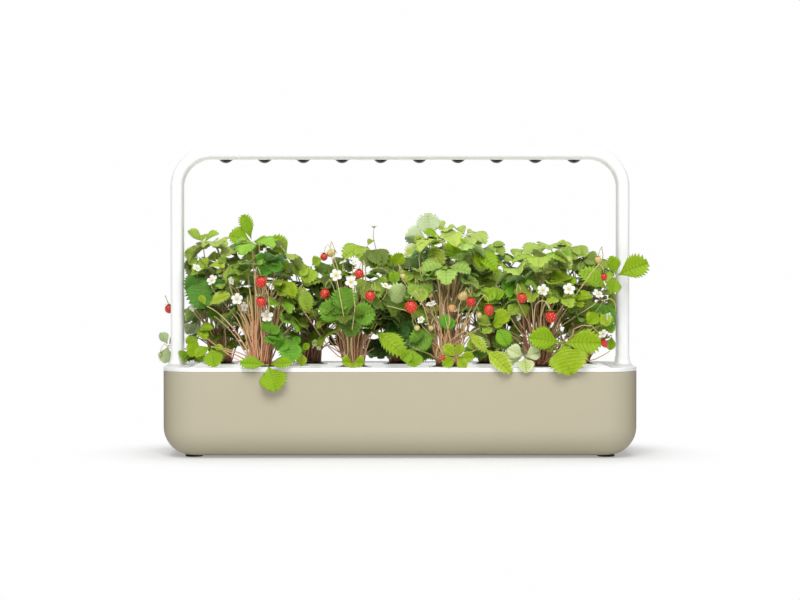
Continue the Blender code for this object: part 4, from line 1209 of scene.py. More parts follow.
LEAVES = [
    Leaf(203, 242, 0.03, 58, 0.6,
         ((188, 231, 0.004, 0.8), (219, 234, 0.004, 0.7), (202, 235, -0.012, 0.9))),
    Leaf(214, 243, 0.01, 75, 0.52, ((203, 248, 0.01), (226, 248, 0.01), (216, 247, 0.028))),
    Leaf(199, 257, 0.03, 10, 0.55, ((185, 252, 0), (189, 264, 0.006), (206, 268, 0.01))),
    Leaf(200, 264, 0.04, 50, 0.15, ((184, 268, 0), (190, 278, 0.01), (212, 270, 0.01))),
    Leaf(252, 241, -0.004, 25, 0.72,
         ((243, 215, -0.008, 0.4), (229, 236, 0.004, 0.8), (270, 245, 0.006)), 0.62),
    Leaf(288, 258, 0.0, 18, 0.74, ((273, 236, 0), (298, 260, 0.012), (283, 270, 0.01)), 0.6),
    Leaf(240, 258, 0.03, 60, 0.22, ((226, 252, 0), (232, 270, 0.02), (252, 258, 0))),
    Leaf(207, 266, -0.02, 60, 0.85, ((224, 268, 0.012), (204, 258, -0.008), (193, 273, 0.012)), 0.7),
    Leaf(228, 264, -0.025, 22, 0.45, ((247, 279, 0.016), (235, 284, 0.01), (219, 258, 0))),
    Leaf(270, 260, -0.03, 18, 0.5, ((256, 260, 0.01), (262, 275, 0.015), (279, 272, 0.012)), 0.8, 0.8),
    Leaf(206, 277, -0.02, 10, 0.27, ((199, 309, 0.02), (186, 291, 0.006), (221, 297, 0.01)), 0.8, 0.75),
    Leaf(207, 306, -0.05, 40, 0.86, ((230, 295, 0.005), (199, 296, 0)), 0.5),
    Leaf(204, 310, 0.0, 150, 0.45, ((188, 321, 0), (216, 321, 0)), 0.5),
    Leaf(197, 322, 0.02, 155, 0.9, ((186, 334, 0), (200, 335, 0)), 0.7),
    Leaf(196, 331, -0.03, 55, 0.66, ((213, 329, 0.004), (206, 340, 0.01)), 0.7),
    Leaf(197, 335, -0.035, 15, 0.8, ((191, 357, 0.004), (186, 343, 0)), 0.5),
    Leaf(211, 346, -0.045, 40, 0.8, ((195, 357, 0.008), (223, 349, 0)), 0.6),
    Leaf(211, 347, -0.05, 12, 0.76, ((215, 367, 0.008),), 0.9),
    Leaf(204, 357, -0.02, 80, 0.1, ((187, 359, 0), (209, 362, 0.012)), 0.7),
    Leaf(269, 336, -0.064, 12, 0.46, ((266, 320, 0), (279, 327, 0)), 0.75, 0.6),
    Leaf(264, 336, -0.06, 60, 0.45, ((283, 339, 0.006), (274, 344, 0.012)), 0.8, 0.7),
    Leaf(268, 365, -0.094, 22, 0.7,
         ((240, 363, 0.003, 0.42), (292, 363, 0.002, 0.4), (276, 391, 0.009, 0.95))),
    Leaf(311, 266, -0.01, 22, 0.6, ((294, 274, 0.012), (321, 259, 0.004), (307, 284, 0.016)), 0.85),
    Leaf(285, 262, 0.03, 45, 0.22, ((275, 273, 0.01), (297, 273, 0.01), (284, 281, 0.02))),
    Leaf(283, 279, -0.04, 10, 0.8, ((294, 298, 0.012), (275, 290, 0.005)), 0.6),
    Leaf(303, 284, -0.04, 18, 0.42, ((308, 312, 0.006), (296, 300, 0.004)), 0.45),
    Leaf(346, 257, 0.03, 35, 0.22, ((335, 267, 0), (350, 272, 0.012))),
    Leaf(367, 246, 0.015, 42, 0.6,
         ((343, 258, 0.012, 0.6), (362, 262, 0.02), (372, 240, -0.008, 0.6)), 0.85),
    Leaf(366, 249, 0.0, 50, 0.35, ((385, 265, 0.016), (374, 268, 0.02))),
    Leaf(393, 268, -0.005, 15, 0.76, ((384, 255, 0), (403, 254, 0), (394, 284, 0.01)), 0.75),
    Leaf(367, 272, -0.02, 110, 0.6, ((389, 275, 0.004),), 0.6),
    Leaf(371, 280, -0.03, 20, 0.52, ((357, 291, 0.012), (386, 291, 0.012), (371, 303, 0.02)), 0.85),
    Leaf(385, 309, -0.05, 160, 0.72, ((404, 285, 0),), 0.62),
    Leaf(347, 319, -0.075, 8, 0.5, ((320, 306, 0.002), (343, 287, -0.004), (375, 312, 0.002)), 0.76, 0.55),
    Leaf(350, 321, -0.066, 50, 0.4, ((373, 328, 0.012), (358, 334, 0.014)), 0.7),
    Leaf(373, 329, -0.05, 28, 0.62, ((404, 356, 0.012),), 0.42),
    Leaf(353, 361, -0.082, 15, 0.8, ((342, 362, 0.002), (364, 363, 0.002), (353, 369, 0.007)), 1.1),
    Leaf(301, 351, -0.04, 12, 0.86, ((292, 346, 0), (309, 344, 0), (302, 366, 0.004)), 0.65),
    Leaf(321, 344, -0.03, 15, 0.95, ((312, 343, 0), (318, 350, 0)), 0.8),
    Leaf(290, 336, -0.05, 18, 0.56, ((276, 350, 0.01), (291, 363, 0.012), (300, 343, 0)), 0.75, 0.7),
    Leaf(383, 312, -0.02, 18, 0.22, ((375, 331, 0.012), (393, 331, 0.012), (396, 315, 0))),
    Leaf(429, 240, -0.006, 158, 0.95, ((428, 213, 0), (405, 237, 0)), 0.8),
    Leaf(443, 240, -0.02, 60, 0.7, ((424, 233, 0.01), (431, 246, 0.02)), 0.8),
    Leaf(444, 231, 0.02, 68, 0.52, ((436, 222, -0.01), (455, 227, 0.004), (445, 232, 0.028)), 0.9),
    Leaf(465, 236, 0.0, 62, 0.52, ((441, 238, 0.012), (457, 228, -0.01), (470, 248, 0.02)), 0.85),
    Leaf(466, 234, 0.01, 60, 0.5, ((486, 244, 0.01), (476, 250, 0.02), (474, 232, -0.01))),
    Leaf(487, 247, 0.02, 66, 0.42, ((505, 245, 0), (503, 256, 0.014), (490, 256, 0.024)), 0.7),
    Leaf(426, 247, -0.03, 26, 0.9, ((405, 256, 0.006), (415, 237, -0.002), (443, 265, 0.016)), 0.62),
    Leaf(463, 256, -0.03, 28, 0.76, ((441, 249, 0.006), (456, 239, -0.004), (467, 246, 0)), 0.7),
    Leaf(474, 250, -0.03, 40, 0.76, ((496, 271, 0.014), (483, 268, 0.016)), 0.5),
    Leaf(455, 260, 0.03, 35, 0.1, ((436, 272, 0.012), (474, 272, 0.012), (455, 283, 0.02)), 0.9),
    Leaf(414, 271, -0.01, 40, 0.46, ((403, 282, 0.012), (425, 282, 0.012), (413, 288, 0.016))),
    Leaf(431, 264, -0.035, 12, 0.54, ((430, 279, 0.002), (441, 271, 0)), 0.8),
    Leaf(495, 285, -0.05, 20, 0.7, ((486, 301, 0.006), (499, 300, 0.006)), 0.75),
    Leaf(503, 272, -0.01, 28, 0.66, ((521, 283, 0.012), (494, 281, 0.01), (509, 290, 0.016))),
    Leaf(515, 281, -0.03, 14, 0.56, ((504, 293, 0.012), (527, 292, 0.012), (516, 303, 0.016)), 0.85, 0.7),
    Leaf(516, 260, 0.03, 58, 0.52, ((505, 262, 0.01), (527, 263, 0.01), (517, 249, -0.012)), 0.85),
    Leaf(487, 268, 0.02, 38, 0.42, ((477, 282, 0.012), (498, 282, 0.012), (487, 290, 0.016))),
    Leaf(447, 333, -0.055, 10, 0.6, ((445, 314, 0), (452, 318, 0)), 0.6, 0.9),
    Leaf(438, 333, -0.05, 14, 0.34, ((410, 345, 0.006),), 0.72, 0.5),
    Leaf(413, 348, -0.072, 12, 0.72, ((414, 367, 0.004), (402, 360, 0)), 0.95),
    Leaf(457, 358, -0.082, 12, 0.85, ((444, 345, 0), (461, 344, 0), (474, 357, 0)), 0.6),
    Leaf(456, 357, -0.083, 20, 0.8, ((443, 366, 0.005), (466, 368, 0.006)), 0.75),
    Leaf(491, 324, -0.06, 28, 0.82, ((510, 314, 0), (503, 325, 0.008)), 0.75),
    Leaf(494, 327, -0.055, 40, 0.52, ((477, 321, 0), (483, 333, 0.01)), 0.75),
    Leaf(496, 325, -0.064, 12, 0.68, ((508, 346, 0.006),), 0.62, 0.4),
    Leaf(466, 330, -0.062, 32, 0.86, ((486, 352, 0.012),), 0.3),
    Leaf(470, 335, -0.056, 14, 0.6, ((475, 350, 0.004),), 0.8),
    Leaf(484, 348, -0.078, 18, 0.85, ((511, 373, 0.019),), 0.4),
    Leaf(524, 357, -0.084, 14, 1.0, ((508, 349, 0), (540, 352, 0), (527, 373, 0.014)), 0.85),
    Leaf(512, 368, -0.07, 12, 1.0, ((513, 347, 0),), 0.8),
    Leaf(549, 246, 0.03, 66, 0.62, ((525, 257, 0.012), (571, 253, 0.012), (549, 250, 0.034)), 0.85),
    Leaf(568, 246, 0.02, 60, 0.46, ((586, 257, 0.012), (575, 260, 0.02), (557, 243, -0.01))),
    Leaf(556, 250, -0.01, 24, 0.54, ((551, 263, 0.006), (566, 261, 0.006)), 0.9, 0.6),
    Leaf(580, 257, 0.015, 30, 0.26, ((597, 263, 0.006), (589, 274, 0.012), (573, 271, 0.012)), 0.9),
    Leaf(616, 276, -0.04, 16, 0.76, ((611, 256, 0, 0.62), (648, 263, 0, 0.62), (612, 293, 0.005, 0.8))),
    Leaf(609, 290, -0.03, 30, 0.68, ((579, 272, 0),), 0.5),
    Leaf(577, 277, -0.03, 58, 0.8, ((551, 284, 0.012), (566, 288, 0.016)), 0.6),
    Leaf(559, 286, -0.03, 18, 0.52, ((545, 298, 0.006), (563, 301, 0.008)), 0.75),
    Leaf(535, 257, -0.01, 22, 0.68, ((526, 277, 0.012), (546, 283, 0.012), (536, 288, 0.014)), 0.7),
    Leaf(545, 268, 0.01, 28, 0.3, ((534, 287, 0.012), (557, 285, 0.012), (546, 292, 0.016))),
    Leaf(568, 300, -0.042, 55, 0.8, ((592, 297, 0.004), (583, 307, 0.014)), 0.6),
    Leaf(605, 303, -0.022, 14, 0.44, ((599, 331, 0.012), (612, 318, 0.004), (591, 314, 0.004)), 0.8, 0.7),
    Leaf(611, 288, 0.026, 14, 0.5, ((613, 304, 0), (617, 319, 0)), 0.5),
    Leaf(612, 335, -0.02, 18, 0.72, ((610, 350, 0.002),), 0.6),
    Leaf(562, 343, -0.086, 14, 0.8,
         ((529, 338, 0.002, 0.62), (601, 343, 0.002, 0.58), (571, 375, 0.012, 1.1))),
    Leaf(583, 303, -0.01, 24, 0.36, ((571, 322, 0.012), (597, 320, 0.012), (584, 329, 0.016))),
    Leaf(517, 301, -0.05, 18, 0.54, ((525, 317, 0.006), (511, 315, 0.006)), 0.75),
    Leaf(168, 345, 0.05, 150, 0.85, ((160, 333, 0), (164, 363, 0), (176, 338, 0)), 0.7),
    Leaf(336, 275, -0.0, 30, 0.3, ((325, 288, 0.012), (344, 290, 0.012)), 0.8),
    Leaf(322, 279, 0.02, 35, 0.18, ((312, 292, 0.01), (334, 292, 0.01), (322, 300, 0.02))),
    Leaf(262, 258, 0.03, 50, 0.16, ((250, 268, 0.01), (272, 268, 0.01), (262, 274, 0.02))),
    Leaf(400, 258, 0.03, 40, 0.2, ((390, 268, 0.01), (412, 266, 0.01), (402, 276, 0.02))),
    Leaf(533, 303, 0.0, 30, 0.2, ((521, 316, 0.012), (545, 315, 0.012), (533, 323, 0.02))),
    Leaf(505, 333, -0.03, 20, 0.2, ((495, 348, 0.01), (517, 347, 0.01), (522, 331, 0))),
    Leaf(400, 320, -0.03, 22, 0.26, ((390, 335, 0.01), (411, 334, 0.01), (401, 341, 0.016)), 0.8, 0.8),
    Leaf(424, 303, -0.03, 20, 0.4, ((413, 318, 0.01), (436, 316, 0.01), (425, 322, 0.014))),
    Leaf(247, 312, -0.01, 24, 0.2, ((236, 322, 0.01), (258, 322, 0.01), (248, 331, 0.016))),
    Leaf(330, 264, 0.01, 30, 0.34, ((316, 272, 0.01), (343, 271, 0.01), (331, 281, 0.016)), 0.85, 0.3),
    Leaf(380, 338, -0.02, 14, 0.14, ((368, 352, 0.01), (391, 352, 0.01), (381, 359, 0.012)), 0.85, 0.6),
    Leaf(352, 333, 0.02, 20, 0.12, ((338, 347, 0.01), (362, 347, 0.01), (349, 355, 0.012)), 0.85, 0.4),
    Leaf(427, 346, -0.03, 14, 0.18, ((418, 361, 0.006), (437, 359, 0.006)), 0.85, 0.7),
    Leaf(476, 344, -0.04, 14, 0.24, ((468, 358, 0.006), (483, 359, 0.006)), 0.85, 0.5),
    Leaf(192, 352, 0.0, 20, 0.44, ((185, 361, 0.004), (203, 361, 0.006)), 0.8, 0.3),
    Leaf(607, 319, -0.03, 18, 0.66, ((597, 331, 0.006), (612, 333, 0.004)), 0.7),
    Leaf(600, 312, -0.04, 22, 0.86, ((588, 324, 0.01), (608, 326, 0.008)), 0.75),
    Leaf(446, 248, 0.01, 70, 0.5, ((433, 256, 0.012), (460, 255, 0.012), (447, 262, 0.02))),
    Leaf(530, 256, 0.03, 64, 0.5, ((516, 262, 0.012), (541, 264, 0.014), (530, 250, -0.01))),
    Leaf(556, 262, 0.0, 40, 0.46, ((541, 272, 0.014), (571, 270, 0.014), (557, 280, 0.02))),
    Leaf(590, 262, 0.02, 50, 0.34, ((578, 270, 0.012), (603, 270, 0.012), (592, 280, 0.016))),
    Leaf(480, 256, 0.01, 50, 0.6, ((466, 264, 0.012), (494, 262, 0.012), (481, 272, 0.018))),
    Leaf(420, 283, -0.05, 16, 0.66, ((409, 294, 0.006), (432, 292, 0.006), (421, 302, 0.008)), 0.75),
]

# A berry: the pixel and depth of its middle, its radius in metres, how ripe it is, its length to width,
# and how far its calyx leans to the right in degrees
Berry = namedtuple("Berry", "across down depth radius ripe stretch lean", defaults=(1.0, 0))

BERRIES = [
    Berry(261, 282, -0.078, 0.0076, 1.0),
    Berry(261, 302, -0.080, 0.0066, 1.0),
    Berry(193, 300, -0.03, 0.0046, 0.95, 1.2),
    Berry(169, 309, 0.04, 0.0060, 0.95),
    Berry(324, 257, -0.03, 0.0050, 1.0),
    Berry(331, 253, -0.02, 0.0052, 0.3, 1.2, 60),
    Berry(359, 274, -0.072, 0.0062, 1.0),
    Berry(349, 289, -0.066, 0.0054, 0.95),
    Berry(325, 294, -0.062, 0.0062, 0.85, 1.15),
    Berry(370, 296, -0.082, 0.0068, 1.0),
    Berry(411, 307, -0.07, 0.0084, 0.9),
    Berry(403, 276, -0.05, 0.0038, 0.28),
    Berry(420, 291, -0.05, 0.0044, 0.45),
    Berry(430, 295, -0.05, 0.0038, 0.25),
    Berry(471, 302, -0.080, 0.0062, 1.0),
    Berry(463, 296, -0.066, 0.0058, 0.38, 1.2, 60),
    Berry(452, 308, -0.06, 0.0054, 0.55),
    Berry(489, 310, -0.072, 0.0064, 0.9, 1.2),
    Berry(479, 315, -0.066, 0.0042, 0.2),
    Berry(417, 328, -0.06, 0.0040, 0.25),
    Berry(431, 328, -0.06, 0.0036, 0.2),
    Berry(522, 298, -0.084, 0.0066, 0.95),
    Berry(551, 317, -0.090, 0.0074, 1.0),
    Berry(604, 277, -0.062, 0.0040, 1.0, 1.25),
    Berry(598, 260, -0.03, 0.0044, 0.4, 1.15),
    Berry(604, 343, -0.05, 0.0046, 0.95, 1.5, -35),
    Berry(443, 358, -0.088, 0.0034, 0.9),
    Berry(424, 264, -0.05, 0.0036, 0.05),
    Berry(160, 355, 0.05, 0.0028, 0.0),
]

# A flower: the pixel and depth of its middle, its radius, and how far it turns sideways and up in degrees
Flower = namedtuple("Flower", "across down depth radius turn rise", defaults=(0, 12))

FLOWERS = [
    Flower(237, 299, -0.06, 0.0086),
    Flower(267, 316, -0.068, 0.0090),
    Flower(212, 280, -0.045, 0.0088, -35, 30),
    Flower(197, 268, -0.034, 0.0074, 40, 40),
    Flower(231, 281, -0.06, 0.0062, 60, 20),
    Flower(244, 307, -0.05, 0.0070, 50, 0),
    Flower(336, 275, -0.074, 0.0088, 0, 8),
    Flower(351, 282, -0.076, 0.0090, 15, 20),
    Flower(386, 286, -0.06, 0.0086, 40, 62),
    Flower(431, 304, -0.066, 0.0078, -20, 62),
    Flower(421, 320, -0.064, 0.0060, -30, 25),
    Flower(543, 290, -0.082, 0.0086, 0, 10),
    Flower(569, 289, -0.078, 0.0088, 0, 15),
    Flower(598, 294, -0.05, 0.0086, 25, 45),
    Flower(603, 334, -0.055, 0.0078, -30, 40),
    Flower(609, 317, -0.045, 0.0068, 50, 10),
    Flower(193, 307, -0.035, 0.0066, 35, -15),
    Flower(353, 263, -0.03, 0.0066, 40, 55),
    Flower(566, 247, 0.04, 0.0066, 20, 60),
    Flower(519, 317, -0.06, 0.0060, -60, 10),
    Flower(343, 262, -0.02, 0.0060, -50, 65),
]

# Long stalks that show on their own: how bright and how red they are, and the pixels and depths that
# they pass through, from the crown's side to the far end
Runner = namedtuple("Runner", "bright red points")

RUNNERS = [
    Runner(1.0, 0.2, ((262, 345, -0.05), (268, 316, -0.062), (272, 300, -0.06), (284, 291, -0.05))),
    Runner(1.0, 0.1, ((348, 350, -0.06), (346, 330, -0.08), (341, 302, -0.082), (337, 280, -0.076))),
    Runner(1.0, 0.1, ((351, 350, -0.06), (352, 330, -0.082), (355, 306, -0.082), (352, 286, -0.078))),
    Runner(0.9, 0.3, ((372, 330, -0.05), (366, 304, -0.06), (392, 307, -0.066), (411, 312, -0.068))),
    Runner(0.7, 0.6, ((340, 352, -0.05), (322, 330, -0.05), (310, 306, -0.046), (302, 288, -0.044))),
    Runner(0.75, 0.6, ((338, 356, -0.05), (322, 338, -0.056), (310, 320, -0.05), (303, 310, -0.05))),
    Runner(1.0, 0.6, ((240, 361, -0.05), (225, 352, -0.046), (210, 341, -0.04), (200, 333, -0.036))),
    Runner(0.9, 0.6, ((246, 354, -0.05), (238, 340, -0.052), (226, 326, -0.048), (214, 316, -0.044))),
    Runner(0.9, 0.1, ((538, 356, -0.05), (534, 330, -0.068), (532, 305, -0.072), (531, 288, -0.07))),
    Runner(1.0, 0.1, ((534, 320, -0.07), (536, 304, -0.078), (545, 301, -0.086), (550, 311, -0.09))),
    Runner(0.8, 0.4, ((548, 352, -0.05), (522, 334, -0.06), (512, 320, -0.058), (505, 312, -0.05))),
    Runner(1.0, 0.2, ((566, 352, -0.05), (574, 329, -0.06), (592, 326, -0.058), (603, 340, -0.052))),
    Runner(0.6, 0.7, ((566, 358, -0.046), (588, 361, -0.05), (602, 356, -0.052), (610, 351, -0.05))),
    Runner(0.9, 0.2, ((590, 320, -0.03), (604, 300, -0.044), (614, 301, -0.046), (616, 312, -0.045))),
    Runner(0.8, 0.3, ((452, 350, -0.06), (446, 322, -0.06), (441, 296, -0.05), (437, 272, -0.04))),
    Runner(0.8, 0.3, ((464, 350, -0.05), (462, 320, -0.046), (462, 285, -0.03), (463, 255, -0.02))),
    Runner(0.8, 0.2, ((560, 350, -0.04), (558, 315, -0.03), (557, 280, -0.02), (558, 255, -0.01))),
    Runner(0.7, 0.3, ((356, 345, -0.04), (372, 320, -0.03), (366, 285, -0.02), (366, 262, -0.01))),
    Runner(0.9, 0.2, ((226, 350, 0.0), (222, 300, 0.0), (224, 270, 0.01), (226, 252, 0.01))),
    Runner(0.9, 0.2, ((262, 350, -0.04), (262, 310, -0.03), (258, 270, -0.02), (266, 250, -0.012))),
]

# Dry cup of a fallen flower, high on a bare stalk of its own
DRY_FLOWER_PX = (374, 228)
DRY_FLOWER_DEPTH = 0.02
DRY_FLOWER_REACH = 0.0052

# Where bundles of stalks show: left, top, right and bottom pixels, with no leaf nearer than a depth
STALKS_PX = [(240, 322, 270, 356), (335, 338, 374, 360), (290, 340, 316, 360), (436, 336, 474, 348),
             (548, 330, 562, 342), (203, 342, 228, 362), (540, 356, 562, 368)]
STALKS_DEPTH = -0.02

# Top of the foliage as (across, down) pixels of the photograph
CANOPY_TOP_PX = [
    (160, 330), (184, 300), (190, 262), (203, 240), (238, 232), (262, 240), (275, 242), (292, 260),
    (325, 268), (345, 256), (370, 250), (385, 258), (400, 264), (413, 246), (430, 234), (460, 238),
    (490, 250), (515, 257), (545, 250), (575, 252), (600, 262), (616, 278), (630, 300), (645, 330),
]

# The spiral of large leaves round each crown: where it starts, how high its plant is as a share of the
# room under the lamp, and how far out, low and steep its last leaf is
PLANT_ROOM = 0.1945
PLANT_HEIGHT_SHARES = (0.87, 0.97, 0.74, 0.80, 0.77, 1.0, 0.85, 0.84, 0.84)
PLANT_TURNS_DEG = (200, 108, 40, 300, 120, 216, 75, 264, 36)
SPIRAL_LEAVES = 6
LEAF_LENGTH = 0.043
LEAF_SPIRAL_DEG = 137.5
LOBE_SPREAD_DEG = 82.0
LEAF_NEAR_SHARE = 0.14
LEAF_FAR_SHARE = 0.62
LEAF_LOWEST_SHARE = 0.42
LEAF_TILT_DEG = 12.0
LEAF_TILT_GAIN_DEG = 38.0
LEAF_DROOP_SHARE = 0.24
LEG_CLEARANCE = 0.010

# How far the spiral's leaves and tips stay under the foliage's top
SPIRAL_UNDER = 0.006
SPIRAL_TIP_UNDER = 0.003

# The leaves inside the foliage: how far they stand from the crown across and back, the turn from one to
# the next, how far their side leaflets spread, how far they stay under the foliage's top and over the
# crown, where their tips stop across and back, and the height over which their tone brightens out of
# painted shade
INNER_REACH = (0.047, 0.036)
INNER_TURN = 2.4
INNER_SPREAD_DEG = 74
INNER_UNDER = 0.016
INNER_TIP_UNDER = 0.004
INNER_TIP_OVER = 0.006
INNER_LIMITS = (0.276, 0.1)
INNER_SHADE_HEIGHT = 0.18

# How far a crown reaches across and back, how far a stalk's bends stray, and where a leaf's stalk and
# blades end short of its middle
CROWN_REACH = (0.0145, 0.0095)
STALK_STRAY = 0.0035
STALK_SHORT = 0.0006
BLADE_SHORT = 0.0012

# Where along a leaflet it is looked for in front of stalks or fruit, and how near to fruit it may come
STALK_PROBES = (0.2, 0.6, 1)
FRUIT_PROBES = (0.35, 0.7, 1)
FRUIT_ROOM = 0.006
FRUIT_AHEAD = 0.004

# How far the leaves that hang over the tank's front may stand out
FOREMOST_Y = -HALF_DEPTH - 0.014

# How much lighter and paler the leaves of each plant are; the darker tone of plants 4 and 5 is painted
# shade deep in the foliage
PLANT_TONE_AND_SHADE = {1: -0.02, 2: -0.02, 3: -0.06, 4: -0.16, 5: -0.18, 6: 0.04, 7: 0.02, 8: 0.04, 9: 0.02}
PLANT_PALE = {1: 0.0, 2: 0.0, 3: 0.0, 4: 0.0, 5: 0.0, 6: 0.14, 7: 0.1, 8: 0.14, 9: 0.1}

# How red the stalks of each plant are, and how bright
STALK_FLUSH = {1: 0.8, 2: 0.85, 3: 0.9, 4: 0.85, 5: 0.9, 6: 0.8, 7: 0.9, 8: 0.95, 9: 0.8}
STALK_TONE = {1: 0.55, 2: 1.0, 3: 0.3, 4: 0.72, 5: 0.3, 6: 0.75, 7: 0.35, 8: 0.4, 9: 0.6}

# Outline of a blade: half width at its base and tip as shares of the widest, where it is widest along
# its length, the depth of its teeth as a share of its length, how far its side veins sweep forward, and
# the power that rounds its end (the smaller, the rounder)
Outline = namedtuple("Outline", "base widest tip teeth sweep bluntness", defaults=(0.5,))
LEAFLET = Outline(0.14, 0.47, 0.05, 0.12, 0.20, 0.95)
PETAL = Outline(0.30, 0.58, 0.42, 0.0, 0.06)
SEPAL = Outline(0.75, 0.25, 0.08, 0.0, 0.0)


def grid_template(rows, columns):
    """A flat grid one unit square each way of the middle, from which a blade is bent, and its rows."""
    bm = bmesh.new()
    bmesh.ops.create_grid(bm, x_segments=columns, y_segments=rows, size=1)
    return mesh_of(bm, "blade_template"), rows


def tube_template(sides, rings):
    """A closed straight tube, one unit long and wide, with its length divided into rings."""
    bm = bmesh.new()
    bmesh.ops.create_cone(
        bm, cap_ends=True, cap_tris=False, segments=sides, radius1=1, radius2=1, depth=1
    )
    upright = [edge for edge in bm.edges if abs(edge.verts[0].co.z - edge.verts[1].co.z) > 0.5]
    bmesh.ops.subdivide_edges(bm, edges=upright, cuts=rings - 2)
    return mesh_of(bm, "tube_template")


def ball_template(subdivisions):
    """A ball of radius one."""
    bm = bmesh.new()
    bmesh.ops.create_icosphere(bm, subdivisions=subdivisions, radius=1)
    return mesh_of(bm, "ball_template")


class Sheaf:
    """A bmesh with the layers that plant materials read, to which copies of templates are added."""

    def __init__(self):
        self.bm = bmesh.new()
        self.uv = self.bm.loops.layers.uv.new("UVMap")
        names = ("tone", "cool", "pale", "vein", "flush", "ripe")
        self.layers = {name: self.bm.verts.layers.float.new(name) for name in names}

    def add(self, template, material=0):
        """Copy a template mesh in. Returns its new vertices."""
        verts, faces = len(self.bm.verts), len(self.bm.faces)
        self.bm.from_mesh(template)
        self.bm.verts.ensure_lookup_table()
        self.bm.faces.ensure_lookup_table()
        for face in self.bm.faces[faces:]:
            face.material_index = material
            for loop in face.loops:
                loop[self.uv].uv = ((loop.vert.co.x + 1) / 2, (loop.vert.co.y + 1) / 2)
        return self.bm.verts[verts:]

    def paint(self, verts, **values):
        for name, value in values.items():
            layer = self.layers[name]
            for vert in verts:
                vert[layer] = value


def half_width(outline, t):
    """Half width of a blade at a share of its length, as a share of the widest."""
    if t < outline.widest:
        short = (outline.widest - t) / outline.widest
        return 1 - (1 - outline.base) * short ** 2.2
    past = (t - outline.widest) / (1 - outline.widest)
    return outline.tip + (1 - outline.tip) * max(0.0, 1 - past ** 2) ** outline.bluntness


def add_blade(sheaf, template, base, tip, face, width, outline, fold, bow, pleat=0.0, **paints):
    """Bend a grid into a toothed, pleated blade from its base to its tip, with its upper side to face."""
    mesh, rows = template
    along = tip - base
    length = along.length
    ahead = along / length
    up = face - ahead * face.dot(ahead)
    up.normalize()
    side = ahead.cross(up)
    vein = sheaf.layers["vein"]
    verts = sheaf.add(mesh)
    for vert in verts:
        across, t = vert.co.x, (vert.co.y + 1) / 2
        row = round(t * rows)
        tooth = outline.teeth * abs(across) ** 3 * min(1, t / 0.25, (1 - t) / 0.1) if row % 2 else 0
        point = math.copysign(tooth, across) * length * 0.7
        x = across * half_width(outline, t) * width * length / 2 + point
        y = length * (t + outline.sweep * abs(across) ** 1.3 * (1 - t) + tooth * 0.6)
        ripple = (-1 if row % 2 else 1) * pleat * abs(across) ** 0.7 * (1 - abs(t - 0.5))
        z = length * (ripple + 4 * bow * t * (1 - t)) + fold * abs(x)
        vert.co = base + side * x + ahead * y + up * z
        vert.co.y = max(vert.co.y, FOREMOST_Y)
        vert[vein] = t * rows / 2
    sheaf.paint(verts, **paints)


def spline_point(points, t):
    """A point on a smooth curve through points, at a share of its length."""
    spans = len(points) - 1
    place = min(t * spans, spans - 1e-9)
    index = int(place)
    u = place - index
    before = points[max(index - 1, 0)]
    start, end = points[index], points[index + 1]
    after = points[min(index + 2, spans)]
    return 0.5 * (
        2 * start + (end - before) * u + (2 * before - 5 * start + 4 * end - after) * u ** 2
        + (3 * start - before - 3 * end + after) * u ** 3
    )


def add_stalk(sheaf, template, points, radius, tip_radius, flush, tip_flush, tone):
    """Bend a tube along a smooth curve through points."""
    verts = sheaf.add(template)
    small = 0.01
    flush_layer = sheaf.layers["flush"]
    sections = {}
    for vert in verts:
        t = round(vert.co.z + 0.5, 4)
        if t not in sections:
            point = spline_point(points, t)
            heading = spline_point(points, min(t + small, 1)) - spline_point(points, max(t - small, 0))
            heading.normalize()
            side = heading.cross(Vector((0.35, 0.9, 0.1)))
            side.normalize()
            sections[t] = (point, side, heading.cross(side))
        point, side, other = sections[t]
        r = radius + (tip_radius - radius) * t
        vert.co = point + (side * vert.co.x + other * vert.co.y) * r
        vert[flush_layer] = flush + (tip_flush - flush) * t
    sheaf.paint(verts, tone=tone)


def nearest_pod(point):
    return min(PLANTS, key=lambda number: (POD_PLACES[number].to_2d() - point.to_2d()).length)


def facing(angle_deg):
    """Direction of an upper side: 0 faces the viewer, 90 up and 180 away."""
    angle = math.radians(angle_deg)
    return TOWARDS_VIEWER * math.cos(angle) + UP * math.sin(angle)


def canopy_top(x, depth):
    """Height of the foliage's top over a place."""
    share = (CAMERA_BACK + depth) / FOCAL_PX
    across = x / share + MIDDLE_PX[0]
    down = CANOPY_TOP_PX[0][1] if across < CANOPY_TOP_PX[0][0] else CANOPY_TOP_PX[-1][1]
    for (left, left_down), (right, right_down) in zip(CANOPY_TOP_PX, CANOPY_TOP_PX[1:]):
        if left <= across <= right:
            down = left_down + (right_down - left_down) * (across - left) / (right - left)
    return CAMERA_HEIGHT - (down - HORIZON_PX) * share


def crown_point(number, draw, spread=1.0):
    """A place on a plant's crown from which a stalk grows."""
    turn = draw.uniform(0, math.tau)
    reach = math.sqrt(draw.uniform(0.05, 1)) * spread
    place = POD_PLACES[number]
    x = place.x + CROWN_REACH[0] * reach * math.cos(turn)
    y = place.y + CROWN_REACH[1] * reach * math.sin(turn)
    return Vector((x, y, CROWN_Z))


def stalk_route(root, end, draw, lift=0.55):
    """A stalk that rises from the crown and bows outward to its end."""
    reach = end - root
    knee = root + Vector((reach.x * 0.34, reach.y * 0.34, reach.z * lift))
    high = root + Vector((reach.x * 0.72, reach.y * 0.72, reach.z * min(0.92, lift + 0.33)))
    for point in (knee, high):
        point.x += draw.uniform(-STALK_STRAY, STALK_STRAY)
        point.y += draw.uniform(-STALK_STRAY, STALK_STRAY)
    return [root, knee, high, end]


# A leaflet's tip and its width to length, and a leaf that is worked out: its middle, its leaflets' tips,
# facing direction, tone (partly painted shade), how cool and how pale it is (partly painted sheen), and
# whether it is one of the photograph's
Tip = namedtuple("Tip", "point width")
Grown = namedtuple("Grown", "hub tips face tone cool pale key")


